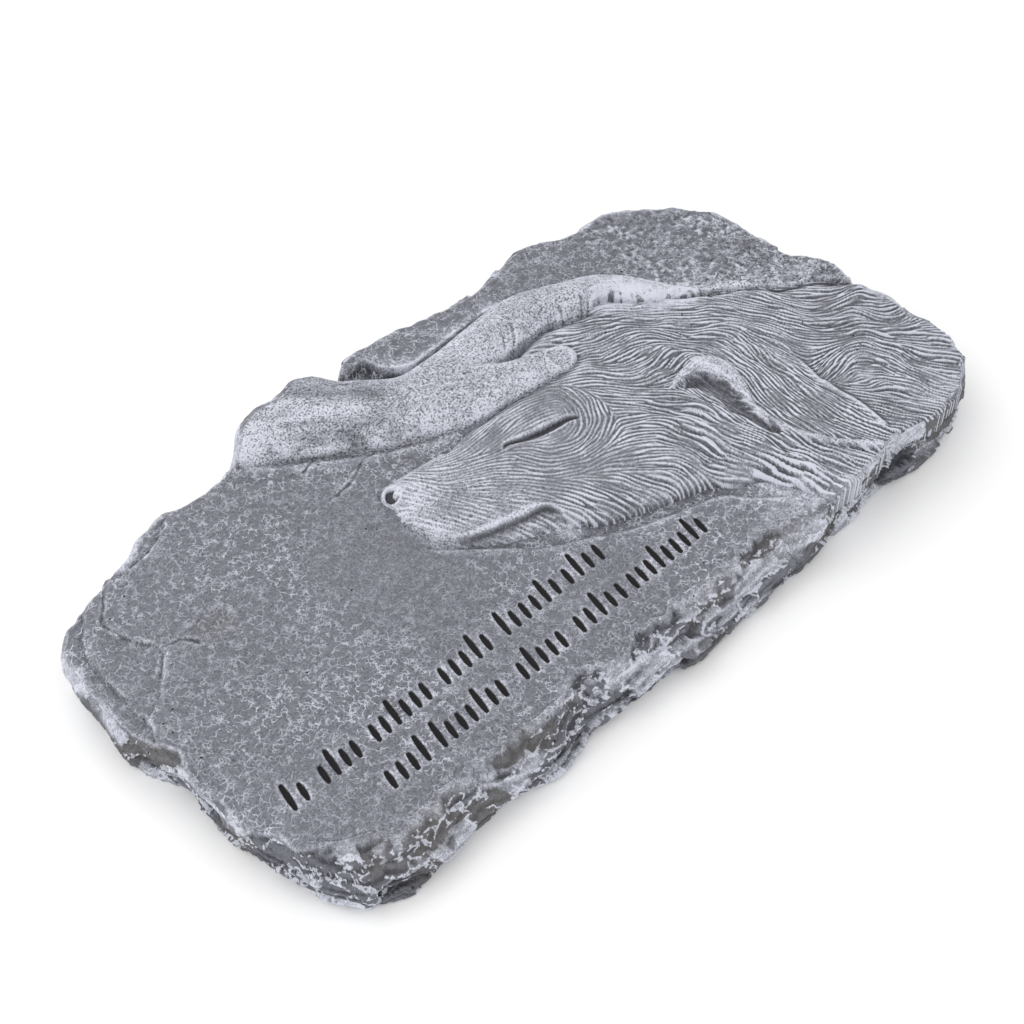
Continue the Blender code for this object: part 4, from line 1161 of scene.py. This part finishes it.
def build_rim(fine_step=0.42, plain_step=0.85, band_rows=38, side_rows=35):
    """The broken rim, the side faces and the flat underside, as a ring of loops round the stone."""
    s = stone_sizes()
    rim, inward, run = rim_frame(fine_step, plain_step)
    count = len(rim)
    depths = BAND * np.linspace(1, 0, band_rows + 1) ** 1.15
    x = rim[:, None, 0] + inward[:, None, 0] * depths
    y = rim[:, None, 1] + inward[:, None, 1] * depths
    at = surfaces(x, y)
    top = at["whole"] - rim_drop(at, x, y) - 0.0007 * ease((at["gap"] - at["seam"]) / 0.9)
    shares = np.linspace(1, 0, side_rows + 1)[1:]
    inset = np.stack([side_offset(share, run) for share in shares], 1)
    side_z = top[:, -1:] * shares
    x = np.concatenate([x, rim[:, None, 0] + inward[:, None, 0] * inset], 1)
    y = np.concatenate([y, rim[:, None, 1] + inward[:, None, 1] * inset], 1)
    mm = np.stack([x, y, np.concatenate([top, side_z], 1) * 1000], -1)
    shape = x.shape
    normal = np.cross(np.roll(mm, -1, 0) - np.roll(mm, 1, 0), np.gradient(mm, axis=1))
    normal = np.stack([blur(normal[..., k], 2.0, wrap=True) for k in range(3)], -1)
    normal /= np.linalg.norm(normal, axis=-1)[..., None] + 1e-9
    if (normal[:, -4, :2] * inward).sum() > 0:
        normal = -normal
    slope = np.cumsum(np.linalg.norm(np.diff(mm, axis=1, prepend=mm[:, :1]), axis=-1), axis=1)
    (big, big_gap, big_tone), (small, small_gap, small_tone) = broken_facets(mm, run, slope)
    side = np.zeros(shape)
    side[:, band_rows + 1:] = 1
    gap = np.concatenate([at["gap"], np.zeros(side_z.shape)], 1)
    edge = np.concatenate([at["edge"], np.ones(side_z.shape)], 1)
    broken = ease((edge - gap) / 1.0)
    flat = np.concatenate([np.ones(top.shape), np.broadcast_to(ease(shares * 9), side_z.shape)], 1)
    grit = noise(mm[..., 0] + mm[..., 2], mm[..., 1], 0.9, 63)
    push = s.flake_depth * (0.60 * blur(big, 0.45, wrap=True) + 0.10 * blur(small, 0.45, wrap=True) - 0.1)
    push = push + 0.00002 * grit
    push = push * broken * flat * (0.45 + 0.55 * ease((5.5 - gap) / 3))
    moved = mm + normal * (push * 1000)[..., None]
    moved[..., 2] = np.clip(moved[..., 2], 0, None)
    moved[:, -1, 2] = 0
    moved[:, 0, 2] = (s.thickness - 0.005) * 1000
    near = np.stack([blur(moved[..., k], 1.1, wrap=True) for k in range(3)], -1)
    wide = np.stack([blur(moved[..., k], 3.6, wrap=True) for k in range(3)], -1)
    bulge = ((moved - near) * normal).sum(-1) / 0.085
    swell = ((moved - wide) * normal).sum(-1) / 0.6
    bulge[:, -3:] = bulge[:, :2] = swell[:, :4] = 0
    plain = 1 - broken
    rough = crag(x, y + moved[..., 2], 7, 66)
    tone = 0.62 * big_tone + 0.20 * small_tone + 0.16 * noise(x, y + moved[..., 2], 10, 68)
    tone = blur(tone + 0.06 * noise(x, y + moved[..., 2], 1.4, 69), 0.4, wrap=True)
    pale = ease((tone - 0.47) / 0.08)
    dull = ease((0.42 - tone) / 0.08) * (1 - 0.4 * ease((x - 95) / 20))
    even = np.ones(shape)
    split = np.minimum(big_gap, small_gap + 0.06 + 3 * ease(0.1 - rough))
    split = split + 2.0 * ease(-0.2 - 1.1 * rough) + 3.0 * (1 - broken)
    brown = 0.8 * ease(noise(x, y, 12, 67) * 2 + 0.1) * broken * dull
    lip_edge = ridge(edge - gap - 0.4, 0.6) * ease(0.5 + 1.3 * noise(x, y, 5, 70)) * (1 - side)
    marks = {"crest": 0.3 * np.clip(bulge, 0, 1) * ((0.1 + 0.9 * pale) * broken + plain),
             "sunk": np.clip(-bulge, 0, 1.2), "high": 0.5 * np.clip(swell, 0, 0.8) * pale,
             # low paints shade in the broad hollows between facets, darkens the dull facets and the side
             # faces slightly
             "low": np.clip(0.7 * np.clip(-swell, 0, 1) + 0.44 * broken * dull + 0.10 * side, 0, 1),
             "dust": (0.50 * pale * broken + 0.40 * lip_edge) * ease((gap + 6) / 6),
             "stain": np.clip(patches(x, y, STAINS) + brown, 0, 1),
             "crinkle": plain + 0.1 * broken, "speckle": 0.42 - 0.24 * broken, "veil": 0.06 * even,
             "paint": -9.0 * even, "split": split, "hair": 0.0 * even, "coat": 0.0 * even}
    piece = new_grid("broken_rim", shape[1] - 1, count)
    order = np.concatenate([np.arange(count), [0]])
    set_places(piece.data, moved[order][..., 0], moved[order][..., 1], moved[order][..., 2] / 1000)
    add_marks(piece.data, {name: values[order] for name, values in marks.items()})
    bpy.ops.object.mode_set(mode="EDIT")
    bpy.ops.mesh.select_all(action="SELECT")
    bpy.ops.mesh.remove_doubles(threshold=1e-7)
    bpy.ops.mesh.select_all(action="DESELECT")
    bpy.ops.mesh.select_mode(type="EDGE")
    bpy.ops.mesh.select_non_manifold()
    bpy.ops.mesh.fill_holes(sides=0)
    bpy.ops.mesh.select_all(action="SELECT")
    bpy.ops.mesh.normals_make_consistent(inside=False)
    bpy.ops.mesh.select_all(action="DESELECT")
    bpy.ops.object.mode_set(mode="OBJECT")
    if boundary_count(piece):
        raise RuntimeError(f"broken_rim has {boundary_count(piece)} open edges")
    dress(piece)


def build_flat(cell=0.44):
    """The flat face of the slab, with the strokes."""
    box = (-133, 56, -73, 72)
    x, y = square_grid(box, cell)
    at = surfaces(x, y)
    marks = finish_marks(at, x, y, cell, at["slab"], at["gap"] - at["seam"] + 0.6, 1.0, 0.55, 0.10)
    marks["crest"] = marks["crest"] * 0.6
    marks["low"] = marks["low"] * 0.6
    # A dark line on the flat along the arm's lower edge is painted shade at the arm's foot
    beside_arm = ridge(at["hand_in"] + 0.9, 0.55) * ease((-2 - x) / 8)
    cracks_and_arm_shade = np.clip(2.2 * crack_marks(x, y) + 0.5 * beside_arm, 0, 1)
    lips = ridge(crack_gap(x, y) - 0.95, 0.34)
    lips = np.maximum(lips, ridge(at["hand_in"] + 2.1, 0.4) * ease((-6 - x) / 8))
    marks["dust"] = marks["dust"] + 0.34 * lips * ease(0.6 + noise(x, y, 3, 98))
    marks["sunk"] = np.maximum(marks["sunk"] * 0.5, 1.3 * cracks_and_arm_shade)
    marks["crinkle"] = marks["crinkle"] * (1 - cracks_and_arm_shade)
    marks["paint"] = at["marks"]
    keep = np.minimum.reduce([at["gap"] - at["seam"] + 1.1, 2.2 - at["dog_in"], 2.2 - at["hand_in"],
                              2.2 - at["layer_in"]])
    dress(relief("slab_face", at["slab"] - under_rim(at), keep, marks, x, y))


def build_layer(cell=0.42):
    """The upper layer of rock."""
    box = (-14, 132, -16, 72)
    x, y = square_grid(box, cell)
    at = surfaces(x, y)
    marks = finish_marks(at, x, y, cell, at["layer"], at["layer_in"] + 2.5, 0.9, 0.55, 0.08)
    marks["speckle"] = marks["speckle"] + 0.5 * ease((x - 80) / 8) * ease((18 - y) / 8)
    # The layer's steep broken edge is darkened and kept mostly free of pale paint: painted shade
    slope = ease((0.9 - at["layer_in"]) / 0.8)
    for name in ("crest", "high", "veil", "crinkle"):
        marks[name] = marks[name] * (1 - 0.8 * slope)
    lip = 0.4 * ridge(at["layer_in"] - 1.3, 0.35) * ease(0.6 + noise(x, y, 4, 97))
    marks["dust"] = marks["dust"] * (1 - 0.5 * slope) + lip
    marks["low"] = np.maximum(marks["low"], 0.6 * slope)
    marks["sunk"] = np.maximum(marks["sunk"] * 0.6, 1.1 * crack_marks(x, y))
    keep = np.minimum.reduce([at["gap"] - at["seam"] + 1.1, at["layer_in"] + 2.6, 3.0 - at["hand_in"]])
    dress(relief("rock_layer", at["layer"] - under_rim(at), keep, marks, x, y))


def build_hand(cell=0.32):
    """The arm and the hand."""
    box = (-64, 94, 9, 74)
    x, y = square_grid(box, cell)
    at = surfaces(x, y)
    marks = finish_marks(at, x, y, cell, at["hand"], at["hand_in"], 0.0, 0.95, 0.0)
    streaks = noise(0.79 * x - 0.61 * y, (0.61 * x + 0.79 * y) * 5, 9, 35) * ease((4 - x) / 26)
    tip = ease((x - 61) / 8)
    veil = 0.42 + 0.36 * streaks + 0.14 * noise(x, y, 12, 36)
    veil = veil + 0.35 * tip + 0.30 * ease((x + 16) / 14) * (1 - tip)
    # Painted highlights along the arm's top and painted shade by its lower edge, added into the veil
    for centre, radii, turn, strength in HAND_HIGHLIGHTS_AND_SHADE:
        veil = veil + strength * mound(x, y, centre, radii, turn)
    creases = wrinkle_marks(x, y)
    # Painted shadow under the fingers, by the thumb: darkened and kept free of pale paint
    palm_shadow = 0.9 * mound(x, y, (38, 31.6), (10, 2.2), 6) * (y > 27)
    nail = nail_ring(x, y)
    marks["veil"] = (veil - 0.25 * ease((1.1 - nail) / 0.3)) * (1 - 0.8 * creases) * (1 - 0.7 * palm_shadow)
    marks["dust"] = marks["dust"] * (1 - 0.8 * creases) + 0.5 * ridge(nail - 1.12, 0.13)
    pits = tip * ease((noise(x, y, 1.5, 38) - 1.05 + 0.9 * ease((3.2 - at["hand_in"]) / 2.6)) / 0.3)
    marks["sunk"] = np.maximum.reduce([marks["sunk"], 1.3 * creases, palm_shadow, pits])
    for name in ("veil", "dust", "high"):
        marks[name] = marks[name] * (1 - 0.9 * pits)
    marks["speckle"] = marks["speckle"] * (1 - 0.45 * tip)
    keep = np.minimum(at["gap"] - at["seam"] + 1.1, at["hand_in"] + 0.9)
    dress(relief("hand_relief", at["hand"] - under_rim(at), keep, marks, x, y))


def build_dog(cell=0.34):
    """The sleeping dog's head, ear and neck fur."""
    box = (-38, 131, -74, 36)
    x, y = square_grid(box, cell)
    at = surfaces(x, y, cell)
    marks = finish_marks(at, x, y, cell, at["dog"], at["dog_in"], 0.0, 0.45, 0.17)
    furry = fur_length(x, y)
    _, bare, band, deep, back_edge, groove = ear(x, y)
    lip = lip_gap(x, y)
    mouth = ease((-3 - x) / 3)
    over, wide, eye = eye_gap(x, y)
    fringe, wave = jaw_fringe(x, y)
    patchy = np.clip(0.85 + 0.6 * noise(x, y, 6, 95) + 0.5 * noise(x, y, 2.4, 96), 0.3, 1.5)
    hairy = (0.36 + 0.64 * furry) * (1 - 0.6 * bare)
    lid_line = eye * (ridge(over - 0.5, 0.28) * (0.4 + 0.6 * mound(x, y, (8, 7), (6, 6)))
                      + 0.45 * ridge(over + wide + 0.5, 0.3))
    lip_wide = 0.22 + 0.62 * ease((x + 30) / 12) * ease((-6 - x) / 4)
    lip_line = ridge(lip - 0.2 - lip_wide, lip_wide) * mouth
    calm = (1 - 0.75 * mouth * ridge(lip, 2.2)) * (1 - 0.7 * eye * ridge(over + 0.2, 1.6))
    calm = calm * (1 - 0.65 * deep)
    marks["crest"] = marks["crest"] * (1 - 0.6 * furry) * calm
    marks["hair"] = at["strands"]
    quiet = 1 - 0.45 * mound(x, y, (56, 17), (17, 10)) - 0.25 * mound(x, y, (24, 14), (12, 7))
    marks["coat"] = hairy * patchy * (1 + 0.4 * at["bold"]) * calm * quiet
    marks["high"] = marks["high"] * calm
    bold_gaps = 1 - at["bold"] * (1 - 1.25 * ease((at["strands"] + 0.1) / 0.4))
    marks["dust"] = marks["dust"] * np.clip(bold_gaps, 0, 1.3)
    fold = (0.58 + 0.30 * ease((y + 34) / 12)) * ease((band + 0.2) / 1.4) * np.clip(patchy, 0.45, 1.1)
    short_hair = 0.8 * ease((1.5 - fringe) / 1.0) * ease(wave / 0.6) * (lip < -1)
    nose_rim = 0.8 * ridge(nose_ring(x, y) - 2.6, 0.32)
    marks["dust"] = np.maximum.reduce([marks["dust"], fold, 0.7 * lid_line, 1.15 * lip_line, nose_rim,
                                       back_edge, short_hair])
    marks["dust"] = marks["dust"] + 0.22 * ease((2 - x) / 20)
    marks["speckle"] = marks["speckle"] + 0.25 * ease((4 - x) / 16) + 0.3 * ease((band + 0.1) / 0.7)
    # The closed eye's slit painted dark: painted shade in the slit
    slit = ease((over + wide + 0.2) / 0.4) * ease((0.2 - over) / 0.4)
    eye_slit_shade = eye * (0.50 * slit + 0.8 * ridge(over + 0.1, 0.28) + 0.9 * ridge(over + wide, 0.3))
    # Painted shade under the lip's edge and in the mouth
    mouth_shade = 0.62 * ridge(lip + 0.25, 0.35) + 0.35 * ease(-lip / 0.4) * ease((lip + 3) / 2)
    # Painted shadow on the fur under the rock layer's edge
    rock_edge_shadow = 1.1 * ridge(at["layer_in"] + 0.5, 0.6) * ease((x - 82) / 6)
    # dark paints shade in the eye's slit, the nostril, under the lip, in the ear's hollow and under the
    # rock's edge, and darkens the groove line behind the ear; pale paint is taken away there
    dark = np.maximum.reduce([eye_slit_shade, 1.5 * nostril(x, y), mouth * ease((x + 31) / 5) * mouth_shade,
                              0.28 * deep * ease((y + 44) / 10), 0.8 * groove, rock_edge_shadow])
    marks["sunk"] = np.maximum(marks["sunk"] * 0.5, dark)
    for name in ("crest", "high", "dust", "veil", "speckle", "coat"):
        marks[name] = marks[name] * (1 - 0.95 * np.clip(dark, 0, 1))
    keep = np.minimum.reduce([at["gap"] - at["seam"] + 1.1, at["dog_in"] + 0.9, 2.6 - at["hand_in"],
                              3.0 - at["layer_in"]])
    dress(relief("dog_relief", at["dog"] - under_rim(at), keep, marks, x, y))


def build_studio():
    """A pale floor, soft light and the camera."""
    studio = bpy.context.scene.studio_settings
    start_clear()
    bpy.ops.mesh.primitive_plane_add(size=8.0, location=(0, 0, -0.0002))
    floor = bpy.context.object
    floor.name = floor.data.name = "studio_floor"
    n = Nodes("studio_floor")
    n.shader.inputs["Base Color"].default_value = (*bpy.context.scene.stone_colours.floor, 1.0)
    n.shader.inputs["Roughness"].default_value = 0.9
    n.shader.inputs["Specular IOR Level"].default_value = 0.1
    floor.data.materials.append(n.material)
    world = bpy.data.worlds.new("studio_sky")
    world.use_nodes = True
    world.node_tree.nodes["Background"].inputs["Color"].default_value = (1.0, 1.0, 1.0, 1.0)
    world.node_tree.nodes["Background"].inputs["Strength"].default_value = studio.sky
    bpy.context.scene.world = world
    bpy.context.scene.view_settings.view_transform = "Standard"
    for name, spot, power, size in (("key_light", (-0.25, 0.75, 0.75), studio.key_power, 1.3),
                                    ("fill_light", (-0.9, -0.2, 0.7), studio.fill_power, 0.8)):
        bpy.ops.object.light_add(type="AREA", location=spot)
        lamp = bpy.context.object
        lamp.name = name
        lamp.data.energy = power
        lamp.data.size = size
        lamp.rotation_euler = (Vector((0, 0, 0.01)) - Vector(spot)).to_track_quat("-Z", "Y").to_euler()
    a, e = studio.azimuth, studio.elevation
    right = Vector((math.cos(a), math.sin(a), 0))
    back = Vector((math.sin(a) * math.cos(e), -math.cos(a) * math.cos(e), math.sin(e)))
    bpy.ops.object.camera_add(location=studio.eye)
    camera = bpy.context.object
    camera.name = "photo_camera"
    camera.rotation_euler = Matrix((right, back.cross(right), back)).transposed().to_euler()
    camera.data.lens = studio.lens
    camera.data.sensor_width = 36.0
    camera.data.clip_start = 0.01
    bpy.context.scene.camera = camera


class STONE_OT_rim(bpy.types.Operator):
    """Build the broken rim, the sides and the underside"""
    bl_idname = "stone.rim"
    bl_label = "Broken rim"

    def execute(self, context):
        build_rim()
        return {"FINISHED"}


class STONE_OT_flat(bpy.types.Operator):
    """Build the flat face and its strokes"""
    bl_idname = "stone.flat"
    bl_label = "Flat face"

    def execute(self, context):
        build_flat()
        return {"FINISHED"}


class STONE_OT_layer(bpy.types.Operator):
    """Build the upper layer of rock"""
    bl_idname = "stone.layer"
    bl_label = "Upper layer"

    def execute(self, context):
        build_layer()
        return {"FINISHED"}


class STONE_OT_hand(bpy.types.Operator):
    """Build the arm and the hand"""
    bl_idname = "stone.hand"
    bl_label = "Hand"

    def execute(self, context):
        build_hand()
        return {"FINISHED"}


class STONE_OT_dog(bpy.types.Operator):
    """Build the sleeping dog"""
    bl_idname = "stone.dog"
    bl_label = "Sleeping dog"

    def execute(self, context):
        build_dog()
        return {"FINISHED"}


class STONE_OT_studio(bpy.types.Operator):
    """Build the floor, the lights and the camera"""
    bl_idname = "stone.studio"
    bl_label = "Studio"

    def execute(self, context):
        build_studio()
        return {"FINISHED"}


class STONE_PT_panel(bpy.types.Panel):
    """The stone's sizes, colours and pieces"""
    bl_label = "Memorial stone"
    bl_idname = "STONE_PT_panel"
    bl_space_type = "VIEW_3D"
    bl_region_type = "UI"
    bl_category = "Memorial stone"

    def draw(self, context):
        for operator in OPERATORS:
            self.layout.operator(operator.bl_idname)
        for name, group in GROUPS.items():
            box = self.layout.box()
            for key in group.__annotations__:
                box.prop(getattr(context.scene, name), key)


OPERATORS = (STONE_OT_rim, STONE_OT_flat, STONE_OT_layer, STONE_OT_hand, STONE_OT_dog, STONE_OT_studio)
GROUPS = {"stone_sizes": StoneSizes, "carving_sizes": CarvingSizes, "stone_colours": StoneColours,
          "studio_settings": StudioSettings}


def register():
    for name, group in GROUPS.items():
        bpy.utils.register_class(group)
        setattr(bpy.types.Scene, name, PointerProperty(type=group))
    for cls in (*OPERATORS, STONE_PT_panel):
        bpy.utils.register_class(cls)


def unregister():
    for cls in (STONE_PT_panel, *reversed(OPERATORS)):
        bpy.utils.unregister_class(cls)
    for name, group in reversed(GROUPS.items()):
        delattr(bpy.types.Scene, name)
        bpy.utils.unregister_class(group)


def main():
    register()
    bpy.ops.stone.rim()
    bpy.ops.stone.flat()
    bpy.ops.stone.layer()
    bpy.ops.stone.hand()
    bpy.ops.stone.dog()
    bpy.ops.stone.studio()


if __name__ == "__main__":
    main()
